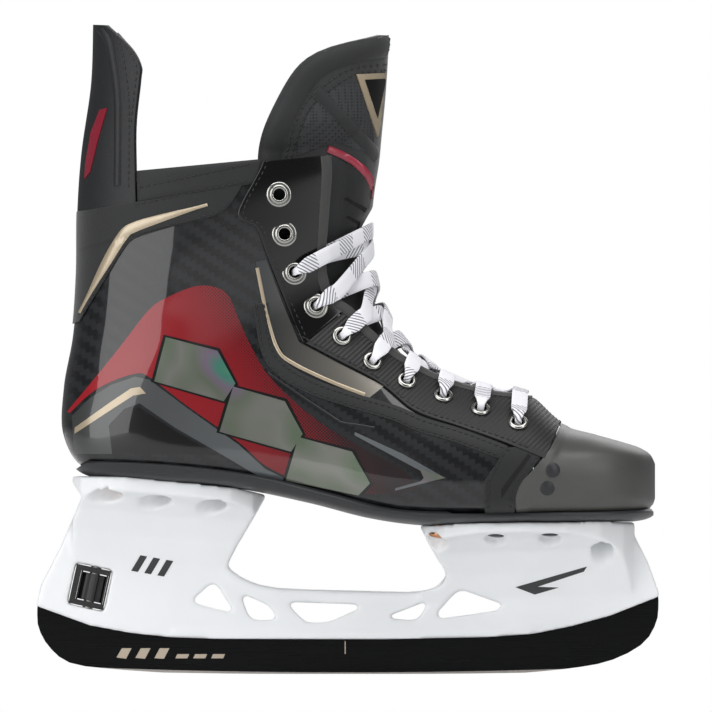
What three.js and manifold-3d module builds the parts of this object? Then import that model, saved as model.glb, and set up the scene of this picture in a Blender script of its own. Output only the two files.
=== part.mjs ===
// An ice hockey skate for a right foot: a composite boot, a moulded blade holder and a steel runner.
// Millimetres, +Z up, +X towards the toe. The origin is on the ice, midway along the runner.
// Lateral, the outer side of the foot, is -Y and medial is +Y.
import * as THREE from "three";
import { mergeVertices } from "three/addons/utils/BufferGeometryUtils.js";
import Module from "manifold-3d";

const wasm = await Module();
wasm.setup();

// ---- Driving dimensions ----
const bootLength = 283; // heel counter to toe cap
const standHeight = 70.5; // ice to the underside of the boot at the ball of the foot
const bootHeight = 238; // underside of the boot to the top of the tendon guard
const ballWidth = 101; // boot width at the ball of the foot
const toeSwing = 4; // how far the toe leans to the inner side

const shellWall = 2.4;
const outsoleWall = 2.6;
const toeCapWall = 2.2;
const footbedThickness = 5;
const linerThickness = 6;
const facingThickness = 1.4;
const collarRise = 1.6; // how far the collar pads stand out of the shell
const tongueThickness = 8;
const guardWall = 3;
const fitGap = 0.4; // between two pieces that lie on each other

const eyeletCount = 10; // on each side
const laceFirstEyelet = 2; // the two at the top stay empty
const eyeletBore = 5.4;
const eyeletFlange = 9.4;
const eyeletFlangeHeight = 1.1;
const laceWidth = 7.6;
const laceThickness = 1.5;
const laceInBore = 3.4; // width of the lace where an eyelet gathers it

const bladeThickness = 3;
const bladeShowing = 16.4; // steel below the holder at mid length
const bladeInSlot = 4.5; // steel above the holder's lower edge
const rockerRadius = 3048;
const rockerFlat = 50; // length of the flat stretch in the middle
const holderWeb = 11; // thickness of the holder above the steel
const holderFlange = 4; // thickness of the plates under the sole
const heelFlangeWidth = 60;
const toeFlangeWidth = 78;
const slotClearance = 0.25; // beside the steel in its slot
const rivetHead = 8.4;
const rivetHeadHeight = 1.3;
const rivetShank = 4.2;
const wheelDiameter = 12.4; // thumb wheel of the blade lock
const wheelHeight = 13;
const lockScrewDiameter = 5;
const lockTravel = 5; // how far the screw comes down to let the runner go
const pinDiameter = 4; // the pin that the runner's front hook turns on

// ---- Grading: the pattern below is drawn for these sizes ----
const drawn = { length: 283, stand: 70.5, boot: 238, width: 101 };
const gradeX = bootLength / drawn.length;
const gradeStand = standHeight / drawn.stand;
const gradeBoot = bootHeight / drawn.boot;
const gradeY = ballWidth / drawn.width;
const px = (x) => x * gradeX;
const pz = (z) =>
  z < drawn.stand ? z * gradeStand : standHeight + (z - drawn.stand) * gradeBoot;
const at = (x, z) => new THREE.Vector2(px(x), pz(z));

// ---- Solids ----
const solidOf = (geometry) => {
  const plain = geometry.clone();
  for (const name of ["normal", "uv"]) plain.deleteAttribute(name);
  const merged = mergeVertices(plain, 1e-4);
  return new wasm.Manifold(
    new wasm.Mesh({
      numProp: 3,
      vertProperties: new Float32Array(merged.attributes.position.array),
      triVerts: new Uint32Array(merged.index.array),
    }),
  );
};

const geometryOf = (solid) => {
  const mesh = solid.getMesh();
  const geometry = new THREE.BufferGeometry();
  geometry.setAttribute(
    "position",
    new THREE.BufferAttribute(new Float32Array(mesh.vertProperties), 3),
  );
  geometry.setIndex(new THREE.BufferAttribute(new Uint32Array(mesh.triVerts), 1));
  geometry.computeVertexNormals();
  return geometry;
};

const FLAT = 0.04; // how far a face may move when needless corners are dropped
// The largest separate body of a solid: a boolean can leave slivers beside it.
const largest = (solid) =>
  solid
    .decompose()
    .reduce((a, b) => (a.volume() > b.volume() ? a : b))
    .simplify(FLAT);

// A closed geometry from rows of points; the rows run round a tube or back over a skin.
const closedGrid = (rows, wrap) => {
  const across = rows[0].length;
  const positions = rows.flat().flatMap((p) => [p.x, p.y, p.z]);
  const faces = [];
  const quad = (a, b, c, d) => faces.push(a, b, c, a, c, d);
  const last = rows.length - 1;
  for (let i = 0; i < (wrap ? rows.length : last); i++) {
    const next = (i + 1) % rows.length;
    for (let j = 0; j < across; j++) {
      const side = (j + 1) % across;
      quad(i * across + j, i * across + side, next * across + side, next * across + j);
    }
  }
  if (!wrap)
    for (const [row, forward] of [
      [0, false],
      [last, true],
    ]) {
      const middle = positions.length / 3;
      const centre = rows[row]
        .reduce((sum, p) => sum.add(p), new THREE.Vector3())
        .divideScalar(across);
      positions.push(centre.x, centre.y, centre.z);
      for (let j = 0; j < across; j++) {
        const a = row * across + j;
        const b = row * across + ((j + 1) % across);
        faces.push(...(forward ? [a, b, middle] : [b, a, middle]));
      }
    }
  const geometry = new THREE.BufferGeometry();
  geometry.setAttribute("position", new THREE.Float32BufferAttribute(positions, 3));
  geometry.setIndex(faces);
  return facingOut(geometry);
};

// Turns a closed geometry's faces outwards if they point in.
const facingOut = (geometry) => {
  const p = geometry.attributes.position;
  const index = geometry.index.array;
  const [a, b, c] = [0, 1, 2].map(() => new THREE.Vector3());
  let volume = 0;
  for (let i = 0; i < index.length; i += 3) {
    a.fromBufferAttribute(p, index[i]);
    b.fromBufferAttribute(p, index[i + 1]);
    c.fromBufferAttribute(p, index[i + 2]);
    volume += a.dot(b.cross(c));
  }
  if (volume < 0) geometry.setIndex([...index].reverse());
  geometry.computeVertexNormals();
  return geometry;
};

// A plate standing in the XZ plane between two values of y.
const plate = (outline, low, high, holes = []) => {
  const shape = new THREE.Shape(outline);
  shape.holes = holes.map((h) => new THREE.Path(h));
  const geometry = new THREE.ExtrudeGeometry(shape, {
    depth: high - low,
    bevelEnabled: false,
    curveSegments: 6,
  });
  return geometry.rotateX(Math.PI / 2).translate(0, high, 0);
};

// Smooth points through a list of hand-placed ones.
const smooth = (points, count) =>
  new THREE.SplineCurve(points).getPoints(count);

// A polygon with its corners rounded off.
const rounded = (corners, radius, steps = 2) =>
  corners.flatMap((corner, i) => {
    const before = corners[(i + corners.length - 1) % corners.length];
    const after = corners[(i + 1) % corners.length];
    const inward = before.clone().sub(corner);
    const onward = after.clone().sub(corner);
    const cut = Math.min(radius, 0.4 * inward.length(), 0.4 * onward.length());
    const curve = new THREE.QuadraticBezierCurve(
      corner.clone().add(inward.setLength(cut)),
      corner,
      corner.clone().add(onward.setLength(cut)),
    );
    return curve.getPoints(steps);
  });

// ---- The boot's surface ----
// Sections fan round from upright ones at the toe to level ones at the ankle. Each runs from a
// point under or behind the foot to a point over or before it: where those lie, the half width,
// the share of the way up at which the section is widest, how square its two ends are, and how far
// round from its upper end the lacing edge lies.
const sections = [
  { back: [145.0, 84], front: [145.0, 99], half: 3, widest: 0.45, low: 3, high: 2.6, throat: 17 },
  { back: [142.5, 78], front: [142.8, 103.5], half: 17, widest: 0.45, low: 3.4, high: 2.8, throat: 17 },
  { back: [136, 75.6], front: [137.5, 107.4], half: 29, widest: 0.45, low: 4, high: 3, throat: 17 },
  { back: [127, 75.2], front: [129, 110.2], half: 37, widest: 0.45, low: 4.2, high: 3, throat: 17 },
  { back: [116, 74.6], front: [117, 113.6], half: 42.5, widest: 0.45, low: 4.2, high: 2.7, throat: 17 },
  { back: [100, 74.0], front: [101, 118.6], half: 46.8, widest: 0.43, low: 4.4, high: 2.2, throat: 17 },
  { back: [82, 73.6], front: [85, 132.2], half: 49.4, widest: 0.4, low: 4.4, high: 1.9, throat: 17.5 },
  { back: [58, 73.2], front: [66, 136.8], half: 50.5, widest: 0.4, low: 4.4, high: 1.75, throat: 18 },
  { back: [34, 73.6], front: [48, 143.6], half: 49, widest: 0.4, low: 4.4, high: 1.68, throat: 19 },
  { back: [10, 77], front: [35, 152.4], half: 46, widest: 0.4, low: 4.6, high: 1.66, throat: 21 },
  { back: [-18, 84], front: [26, 162], half: 42.5, widest: 0.42, low: 5, high: 1.7, throat: 24 },
  { back: [-52, 90.4], front: [19.5, 173], half: 39.5, widest: 0.45, low: 6, high: 1.8, throat: 28 },
  { back: [-92, 92.8], front: [15.5, 184], half: 37.6, widest: 0.45, low: 6, high: 1.95, throat: 31 },
  { back: [-123, 96.6], front: [13.5, 194], half: 36.6, widest: 0.45, low: 4.4, high: 2.05, throat: 38 },
  { back: [-135, 113], front: [12.4, 203], half: 37, widest: 0.46, low: 3, high: 2.15, throat: 41 },
  { back: [-135, 136], front: [12.2, 212], half: 38, widest: 0.48, low: 2.3, high: 2.2, throat: 42 },
  { back: [-130.6, 161], front: [12.8, 221], half: 39.5, widest: 0.5, low: 2.3, high: 2.25, throat: 43 },
  { back: [-128.4, 190], front: [14, 231], half: 41, widest: 0.5, low: 2.3, high: 2.3, throat: 44 },
  { back: [-128, 220], front: [16, 243], half: 42, widest: 0.5, low: 2.3, high: 2.4, throat: 46 },
  { back: [-126, 248], front: [17.5, 256], half: 41, widest: 0.5, low: 2.3, high: 2.4, throat: 48 },
  { back: [-121.5, 280], front: [20, 277], half: 38, widest: 0.5, low: 2.3, high: 2.4, throat: 50 },
  { back: [-120.5, 309], front: [22.5, 304], half: 34, widest: 0.5, low: 2.3, high: 2.4, throat: 52 },
];
const noseSections = 4; // the first ones, which close the toe
const RING = 60; // samples along half a section, a multiple of its corners

const mix = (a, b, f) => a + (b - a) * f;
const clamp = (v) => Math.min(Math.max(v, 0), 1);
const spline = (values, t) => {
  const i = Math.min(Math.max(Math.floor(t), 0), values.length - 2);
  const f = t - i;
  const v = (k) => values[Math.min(Math.max(k, 0), values.length - 1)];
  const [a, b, c, d] = [v(i - 1), v(i), v(i + 1), v(i + 2)];
  return (
    b +
    0.5 * f * (c - a + f * (2 * a - 5 * b + 4 * c - d + f * (3 * (b - c) + d - a)))
  );
};
const column = (pick) => (t) => spline(sections.map(pick), t);
const backX = column((s) => px(s.back[0]));
const backZ = column((s) => pz(s.back[1]));
const frontX = column((s) => px(s.front[0]));
const frontZ = column((s) => pz(s.front[1]));
const halfWidth = column((s) => s.half * gradeY);
const widest = column((s) => s.widest);
const lowSquare = column((s) => s.low);
const highSquare = column((s) => s.high);
const throat = column((s) => s.throat * gradeY);

const rings = new Map();
const ringAt = (t) => {
  const key = t.toFixed(4);
  if (rings.has(key)) return rings.get(key);
  const back = new THREE.Vector2(backX(t), backZ(t));
  const along = new THREE.Vector2(frontX(t), frontZ(t)).sub(back);
  const height = along.length();
  along.normalize();
  const half = halfWidth(t);
  const split = widest(t) * height;
  const points = [];
  let length = 0;
  for (let i = 0; i <= RING; i++) {
    const angle = (Math.PI * i) / RING;
    const c = Math.abs(Math.cos(angle));
    const s = Math.abs(Math.sin(angle));
    const n = 2 / (i < RING / 2 ? lowSquare(t) : highSquare(t));
    const rise =
      i < RING / 2 ? split * (1 - c ** n) : split + (height - split) * c ** n;
    points.push({ out: half * s ** n, rise });
    if (i)
      length += Math.hypot(
        points[i].out - points[i - 1].out,
        points[i].rise - points[i - 1].rise,
      );
    points[i].length = length;
  }
  const ring = { back, along, points, length, height };
  rings.set(key, ring);
  return ring;
};

// How far the boot's centre line swings to the inner side, growing from the arch to the toe.
const swing = (x) => toeSwing * Math.max(0, (x - px(-20)) / px(165)) ** 2;

// A point on the boot's surface, moved outwards by `out`. `round` is the length along the section
// from its lower or back end; a negative one runs up the lateral side.
const surface = (t, round, out = 0) => {
  const ring = ringAt(t);
  const side = round < 0 ? -1 : 1;
  const length = Math.min(Math.abs(round), ring.length);
  let i = 1;
  while (i < RING && ring.points[i].length < length) i++;
  const [a, b] = [ring.points[i - 1], ring.points[i]];
  const f = (length - a.length) / Math.max(b.length - a.length, 1e-9);
  const before = ring.points[Math.max(i - 2, 0)];
  const after = ring.points[Math.min(i + 1, RING)];
  const slope = (p, q) => new THREE.Vector2(q.rise - p.rise, -(q.out - p.out)).normalize();
  const n0 = slope(before, b);
  const n1 = slope(a, after);
  if (i === 1) n0.set(0, -1);
  if (i === RING) n1.set(0, 1);
  const normal = n0.lerp(n1, f).normalize();
  const outwards = a.out + f * (b.out - a.out) + out * normal.x;
  const rise = a.rise + f * (b.rise - a.rise) + out * normal.y;
  const x = ring.back.x + ring.along.x * rise;
  const z = ring.back.y + ring.along.y * rise;
  const nose = Math.max(0, 1 - t / noseSections);
  return new THREE.Vector3(x + out * nose, side * outwards + swing(x), z);
};
const topLength = (t) => ringAt(t).length;

// The whole boot as one solid, grown by `out`, which can vary with the section and with the share
// of the way up it. Every such solid has its corners at the same places, so layers cut from two of
// them stay an even distance apart.
const ROWS = sections.flatMap((_, t) => (t < 10 ? [t, t + 0.5] : [t]));
const CORNERS = 10; // on half a section
const body = (out, first = 0) => {
  const rows = [];
  for (const t of ROWS.filter((row) => row >= first)) {
    const row = [];
    for (let j = 0; j < 2 * CORNERS; j++) {
      const share = (j - CORNERS) / CORNERS;
      const length = ringAt(t).points[Math.round(Math.abs(share) * RING)].length;
      const grown = typeof out === "function" ? out(t, topLength(t) - length) : out;
      row.push(surface(t, share < 0 ? -length : Math.max(length, 1e-6), grown));
    }
    rows.push(row);
  }
  return solidOf(closedGrid(rows));
};
const layer = (low, high, first) => body(high, first).subtract(body(low, first));

// A skin on the surface: `place(i, j)` gives [t, round] for shares i and j of its two edges.
const skin = (place, low, high, steps, across) => {
  const rows = [];
  for (let i = 0; i <= steps; i++) {
    const line = (out) =>
      Array.from({ length: across + 1 }, (_, j) => surface(...place(i / steps, j / across), out));
    rows.push([...line(high), ...line(low).reverse()]);
  }
  return closedGrid(rows);
};

// The length round section t at which it crosses a curve drawn in the XZ plane.
const roundOn = (t, curve) => {
  const { back, along, points } = ringAt(t);
  let rise = 0;
  for (let i = 1; i < curve.length; i++) {
    const step = curve[i].clone().sub(curve[i - 1]);
    const gap = curve[i - 1].clone().sub(back);
    const turn = along.cross(step);
    const share = gap.cross(along) / turn;
    rise = gap.cross(step) / turn;
    if (share >= 0 && share <= 1) break;
  }
  const k = Math.max(1, points.findIndex((p) => p.rise >= rise));
  const f = (rise - points[k - 1].rise) / (points[k].rise - points[k - 1].rise);
  return mix(points[k - 1].length, points[k].length, f);
};
// The section that passes through a point of the XZ plane.
const sectionAt = (point) => {
  let [low, high] = [3, sections.length - 1];
  for (let i = 0; i < 30; i++) {
    const t = (low + high) / 2;
    const { back, along } = ringAt(t);
    if (along.cross(point.clone().sub(back)) > 0) low = t;
    else high = t;
  }
  return low;
};
const placeOn = (point) => {
  const t = sectionAt(point);
  const { along } = ringAt(t);
  const step = new THREE.Vector2(-along.y, along.x);
  return [t, roundOn(t, [point.clone().sub(step), point.clone().add(step)])];
};

// ---- Seams, drawn from the side ----
const toeSeam = smooth(
  [at(104, 125), at(95.5, 106), at(82, 90.5), at(79.5, 84), at(82, 60)],
  16,
);
const rearFacingSeam = smooth(
  [at(-36, 262), at(-41, 242), at(-52.4, 218.5), at(-44, 212), at(-38, 196.7),
    at(-30.6, 178), at(-22, 158)],
  18,
);
const lowFacingSeam = smooth(
  [at(-26, 160), at(-5.2, 149), at(15.2, 137.8), at(31.8, 124.6), at(53.2, 117),
    at(76, 109), at(108, 96)],
  18,
);
const guardFront = smooth(
  [at(-100, 196), at(-101, 236.6), at(-101.2, 260.8), at(-99, 282), at(-98.8, 289),
    at(-104, 298), at(-117, 309.5)],
  18,
);
const collarFront = [at(-45, 200), at(-45, 300)];
const tongueSide = smooth(
  [at(-26, 130), at(-31, 160), at(-37, 196), at(-42, 232), at(-41.6, 253),
    at(-34.7, 270.8), at(-22.8, 289.3), at(-7.6, 297.8), at(15.4, 302.6)],
  18,
);
const collarSeam = 18; // section at which the quarters end and the collar pad begins
const facingTop = 18.52;
const facingSplit = 12.2; // section between the smooth and the ribbed facing

const shift = (points, x, z) => points.map((p) => new THREE.Vector2(p.x + x, p.y + z));

// ---- Pieces of the boot ----
const group = new THREE.Group();
const add = (name, shape, colour, roughness, metalness = 0) => {
  const geometry = shape.isBufferGeometry ? shape : geometryOf(shape);
  const material = new THREE.MeshStandardMaterial({ color: colour, roughness, metalness });
  const mesh = new THREE.Mesh(geometry, material);
  mesh.name = name;
  group.add(mesh);
  return mesh;
};

// Cutters: prisms through the boot, drawn from the side.
const FAR = 400;
const prism = (outline, side = 0) =>
  solidOf(plate(outline, side > 0 ? 0 : -FAR, side < 0 ? 0 : FAR));
// All that lies beyond section t, towards the top of the boot.
const beyond = (t) => {
  const { back, along } = ringAt(t);
  const low = back.clone().addScaledVector(along, -FAR);
  const high = back.clone().addScaledVector(along, FAR);
  const up = new THREE.Vector2(-along.y, along.x).multiplyScalar(FAR);
  return prism([low, high, high.clone().add(up), low.clone().add(up)]);
};
const between = (low, high) => beyond(low).subtract(beyond(high));
// All that lies behind a curve drawn from the bottom up, or before one for a positive `way`.
const beside = (curve, way, gap = 0) =>
  prism([
    ...shift(curve, gap, 0),
    new THREE.Vector2(curve.at(-1).x + way * FAR, curve.at(-1).y),
    new THREE.Vector2(curve[0].x + way * FAR, curve[0].y),
  ]);
const sideGap = 0.15; // from the middle plane to each of two mirrored pieces
const sideOf = (side) =>
  prism([at(-FAR, -FAR), at(FAR, -FAR), at(FAR, FAR), at(-FAR, FAR)], side)
    .translate(0, side * sideGap, 0);
const inToe = (gap) => beside(toeSeam, 1, -gap);
const throatCut = solidOf(
  skin(
    (i, j) => {
      const t = mix(5.75, sections.length - 1.02, i);
      const round = (2 * j - 1) * throat(t);
      return [t, round < 0 ? -(topLength(t) + round) : topLength(t) - round];
    },
    -12,
    12,
    26,
    4,
  ),
);

const toeCapOut = 0.9;
const toeCapSolid = largest(layer(toeCapOut - toeCapWall, toeCapOut).intersect(inToe(0)));

// Shell: one wall round the foot, open along the throat. Its rear edge stops at the collar.
const shellSides = layer(-shellWall, 0).subtract(inToe(fitGap)).subtract(throatCut);
const shellRegion = between(3, collarSeam).add(
  between(collarSeam - 0.5, facingTop - 0.06).intersect(beside(collarFront, 1)),
);

// Outsole: a shallow tray under the shell, from the toe to the back of the heel.
const soleLine = (rise) =>
  smooth(
    [at(160, 78), at(137, 74), at(100, 73), at(58, 72.4), at(22, 74), at(-10, 82), at(-45, 90),
      at(-90, 95), at(-145, 97)],
    14,
  ).map((p) => new THREE.Vector2(p.x, p.y + rise));
const trayRegion = prism([...soleLine(5), at(-145, 40), at(160, 40)]);
const outsoleSolid = largest(
  layer(fitGap, fitGap + outsoleWall)
    .intersect(trayRegion)
    .subtract(body(toeCapOut + fitGap).intersect(inToe(fitGap)))
    .subtract(beyond(14.6)),
);

// Footbed: the flat insole inside.
const footbedOut = -(shellWall + 3.6);
const footbedSolid = largest(
  layer(footbedOut - footbedThickness, footbedOut, 3)
    .intersect(prism([...soleLine(10), at(-145, 40), at(160, 40)]))
    .intersect(between(3.4, 12.8)),
);

// Ankle liner: padding inside the quarters, from the instep back round the heel.
const linerFront = smooth(
  [at(0, 110), at(-29, 150), at(-41, 180), at(-46.5, 215), at(-46.5, 262)],
  12,
);
const linerOut = -(shellWall + fitGap);
const padLayer = layer(linerOut - linerThickness, linerOut, 12);
const linerSolid = largest(
  padLayer.intersect(between(13.5, 18.42)).intersect(beside(linerFront, -1)),
);

// Collar pads and tendon guard.
const collarLayer = layer(-shellWall, collarRise, 12).intersect(between(collarSeam + 0.02, 18.6));
const guardSolid = largest(
  layer(-guardWall + 0.6, 0.6, 12)
    .intersect(beyond(collarSeam + 0.03))
    .intersect(beside(guardFront, -1)),
);
const guardLiningSolid = largest(
  padLayer.intersect(beyond(18.55)).subtract(beyond(20.8)).intersect(beside(guardFront, -1, -4)),
);

// Tongue: padding between the foot and the laces. Where laces and eyelets press on it, it lies
// deeper than where it stands free.
const tongueUnder = -7.4;
const tongueFront = -1.2;
const lacedTo = 15.2; // section just above the top lace
const tongueOut = (t, fromTop) => {
  const edge = clamp((throat(t) - 14 - fromTop) / 8);
  const free = clamp((t - 18.8) / 0.6);
  const above = clamp((t - lacedTo) / 0.9);
  return mix(tongueUnder, tongueFront, above * Math.max(edge * edge * (3 - 2 * edge), free));
};
const tongueLayer = body(tongueOut, 6).subtract(body((t, r) => tongueOut(t, r) - tongueThickness, 6));
const tongueFold = 18.72; // section where the flap above the collar bends
const tongueReach = (t) => throat(t) + mix(10, 22, clamp((t - 7) / 5));
const tongueBand = solidOf(
  skin(
    (i, j) => {
      const t = mix(6.8, sections.length - 1.02, i);
      const round = (2 * j - 1) * (t > 13 ? topLength(t) - roundOn(t, tongueSide) : tongueReach(t));
      return [t, Math.sign(round || 1) * (topLength(t) - Math.abs(round))];
    },
    -24,
    3,
    20,
    6,
  ),
);
const tongueSolid = tongueLayer.intersect(tongueBand);

// Facings: the lacing strips, on the outside of the shell.
const facingTopOut = fitGap + facingThickness;
const facingLayer = layer(fitGap, facingTopOut).subtract(throatCut).subtract(inToe(fitGap));
const facingUpperRegion = between(facingSplit + 0.03, facingTop).intersect(
  beside(rearFacingSeam.slice().reverse(), 1),
);
const facingLowerRegion = between(4, facingSplit - 0.03).intersect(
  prism([...lowFacingSeam, at(140, 96), at(140, 230), at(-60, 230), at(-60, 160)]),
);

// ---- Eyelets ----
const eyeletRow = new THREE.SplineCurve([
  at(-33, 227.7),
  at(-30.5, 208.8),
  at(-25.7, 190.4),
  at(-3.9, 160.4),
  at(27, 138.3),
  at(80.7, 118),
]).getSpacedPoints(eyeletCount - 1);
const eyeletPlaces = eyeletRow.map((point) => placeOn(point));
const sides = [
  ["lateral", -1],
  ["medial", 1],
];
// A frame standing on the surface: +Y of a lathe points out of the boot.
const standing = (t, round) => {
  const foot = surface(t, round, 0);
  const out = surface(t, round, 1).sub(foot).normalize();
  const matrix = new THREE.Matrix4().makeRotationFromQuaternion(
    new THREE.Quaternion().setFromUnitVectors(new THREE.Vector3(0, 1, 0), out),
  );
  return matrix.setPosition(foot);
};
const lathe = (profile, facets, matrix) =>
  new THREE.LatheGeometry(
    [...profile, profile[0]].map(([r, h]) => new THREE.Vector2(r, h)),
    facets,
  ).applyMatrix4(matrix);
const rod = (radius, low, high, facets, matrix) =>
  solidOf(
    new THREE.CylinderGeometry(radius, radius, high - low, facets)
      .translate(0, (low + high) / 2, 0)
      .applyMatrix4(matrix),
  );
const EYELET_FACETS = 8;
const boreRadius = eyeletBore / 2;
const barrelRadius = boreRadius + 0.6;
const flangeFoot = facingTopOut + 0.3;
const flangeTop = flangeFoot + eyeletFlangeHeight;
const curlTop = -shellWall - 1.4;
const eyeletProfile = (flange) => [
  [boreRadius, curlTop - 0.6],
  [barrelRadius + 0.9, curlTop - 0.6],
  [barrelRadius + 0.9, curlTop],
  [barrelRadius, curlTop],
  [barrelRadius, flangeFoot],
  [flange, flangeFoot],
  [flange - 1, flangeTop],
  [boreRadius, flangeTop - 0.4],
];
const boreHoles = [];
const eyelets = [];
for (const [sideName, side] of sides)
  eyeletPlaces.forEach(([t, round], k) => {
    const matrix = standing(t, side * round);
    const flange = eyeletFlange / 2 + (k < 4 ? 1.2 : 0);
    const geometry = lathe(eyeletProfile(flange), EYELET_FACETS, matrix);
    eyelets.push([`eyelet_${sideName}_${k + 1}`, geometry]);
    boreHoles.push(rod(barrelRadius + 0.25, -20, 20, EYELET_FACETS, matrix));
    if (k < 5) boreHoles.push(rod(flange + 0.3, flangeFoot - 0.1, 12, EYELET_FACETS, matrix));
  });
const allBores = wasm.Manifold.union(boreHoles);

// ---- Blade holder ----
const edge = (x, z) => new THREE.Vector2(px(x), bladeShowing + (z - 16.4) * gradeStand);
const lowerEdge = [
  edge(-148.2, 32.3),
  edge(-122.6, 23),
  edge(-102.6, 19.3),
  edge(-82.7, 17.3),
  edge(-60.8, 16.6),
  edge(15.2, 16.4),
  edge(65.1, 17.4),
  edge(87.9, 19),
  edge(105.9, 22.6),
  edge(124.5, 27.6),
  edge(148.3, 37),
];
// The lock's own frame: u forwards across its window, v up its screw.
const lockCentre = at(-122.6, 41.3);
const lockLean = THREE.MathUtils.degToRad(12.3);
const inLock = (u, v) =>
  new THREE.Vector2(
    lockCentre.x + u * Math.cos(lockLean) + v * Math.sin(lockLean),
    lockCentre.y - u * Math.sin(lockLean) + v * Math.cos(lockLean),
  );
const lockRect = (u0, u1, v0, v1) => [
  inLock(u0, v0),
  inLock(u1, v0),
  inLock(u1, v1),
  inLock(u0, v1),
];
const wheelU = 1; // the wheel sits forward of the window's middle
const wheelRoom = 0.4; // round the wheel in its housing
const housingWall = 2.6;
const windowHalfU = 8.8;
const windowHalfV = wheelHeight / 2 + wheelRoom + housingWall + fitGap;
const lockRod = (radius, v0, v1, facets) => {
  const low = inLock(wheelU, v0);
  return solidOf(
    new THREE.CylinderGeometry(radius, radius, v1 - v0, facets)
      .rotateX(Math.PI / 2)
      .rotateY(lockLean)
      .translate(
        (low.x + inLock(wheelU, v1).x) / 2,
        0,
        (low.y + inLock(wheelU, v1).y) / 2,
      ),
  );
};

const sideOutline = [
  ...lowerEdge,
  at(142.4, 53.2),
  at(136, 65.8),
  at(136.4, 75.6),
  at(100, 73),
  at(34.2, 72.6),
  at(34.2, 70),
  at(38, 62.2),
  at(42.5, 54.5),
  at(45.8, 49.5),
  at(46.6, 46.5),
  at(45.6, 43.8),
  at(42.3, 41.3),
  at(36, 39.6),
  at(28, 39),
  at(-20, 40.2),
  at(-33.3, 40.9),
  at(-42.5, 42.5),
  at(-51.3, 46.2),
  at(-55, 48.3),
  at(-56.9, 50.6),
  at(-56.6, 53.2),
  at(-51.8, 62.2),
  at(-44.7, 74.1),
  at(-39.1, 84.1),
  at(-39.1, 88.5),
  at(-92, 93.4),
  at(-131, 94),
  at(-131, 91),
  at(-126.4, 84.1),
  at(-136.5, 60.3),
  at(-145.8, 42.3),
];
const trussHoles = [
  [at(-75, 34.2), at(-63.5, 44.3), at(-53.6, 28.6)],
  [at(-51.3, 38.5), at(-37, 32.3), at(-33.3, 25.7), at(-46.6, 25.7)],
  [at(-29.5, 34.2), at(9, 32.8), at(-9, 24.6), at(-20, 24.2)],
  [at(17.1, 26.6), at(38.5, 34.9), at(33.3, 25.4)],
  [at(52.7, 40.4), at(73.5, 33), at(71.5, 30.2), at(43.2, 26.3), at(42.3, 28.9)],
].map((corners) => rounded(corners, 3.5));
const webHalf = holderWeb / 2;

// A form with one half profile [y, depth] all along a tower, rising with the sole by `slope`.
const towerForm = (profile, from, to, slope) => {
  const mirrored = profile.map(([y, z]) => [-y, z]).reverse();
  const corners = [...profile, ...mirrored].map(([y, z]) => new THREE.Vector2(y, z));
  const geometry = new THREE.ExtrudeGeometry(new THREE.Shape(corners), {
    depth: to.x - from.x,
    bevelEnabled: false,
    steps: 1,
  });
  geometry.applyMatrix4(
    new THREE.Matrix4().set(0, 0, 1, from.x, 1, 0, 0, 0, 0, 1, slope, from.y, 0, 0, 0, 1),
  );
  return solidOf(geometry);
};
// A flare from the flange down to the web.
const flare = (plan, half, [from, to]) => {
  const profile = [
    [half, 2.6],
    [half, -holderFlange],
    [half * 0.76, -holderFlange - 3.5],
    [half * 0.52, -14],
    [half * 0.33, -24],
    [webHalf + 0.8, -36],
    [webHalf - 1, -44],
  ];
  const outline = new THREE.ExtrudeGeometry(new THREE.Shape(plan), {
    depth: 140,
    bevelEnabled: false,
  });
  return towerForm(profile, from, to, (to.y - from.y) / (to.x - from.x))
    .intersect(solidOf(outline))
    .intersect(solidOf(plate(sideOutline, -60, 60)));
};
// The hollow inside a tower, open to the sole.
const hollow = (half, from, to, slope) => {
  const profile = [
    [half * 0.34, 12],
    [half * 0.34, -7],
    [half * 0.2, -14],
    [webHalf - 2.5, -28],
  ];
  return towerForm(profile, from, to, slope);
};
const planOf = (points) => [
  ...points.map(([x, y]) => new THREE.Vector2(px(x), y * gradeY + swing(px(x)))),
  ...points.map(([x, y]) => new THREE.Vector2(px(x), -y * gradeY + swing(px(x)))).reverse(),
];
const toeHalf = toeFlangeWidth / 2 / gradeY;
const heelHalf = heelFlangeWidth / 2 / gradeY;
const toePlan = planOf([
  [33, toeHalf * 0.3],
  [36, toeHalf * 0.62],
  [46, toeHalf * 0.88],
  [62, toeHalf],
  [84, toeHalf],
  [104, toeHalf * 0.92],
  [120, toeHalf * 0.76],
  [131, toeHalf * 0.52],
  [136.5, toeHalf * 0.2],
]);
const heelPlan = planOf([
  [-131.5, heelHalf * 0.35],
  [-127, heelHalf * 0.7],
  [-117, heelHalf * 0.93],
  [-104, heelHalf],
  [-74, heelHalf],
  [-56, heelHalf * 0.92],
  [-45, heelHalf * 0.7],
  [-38.5, heelHalf * 0.3],
]);
const soleOut = 2 * fitGap + outsoleWall;

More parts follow.
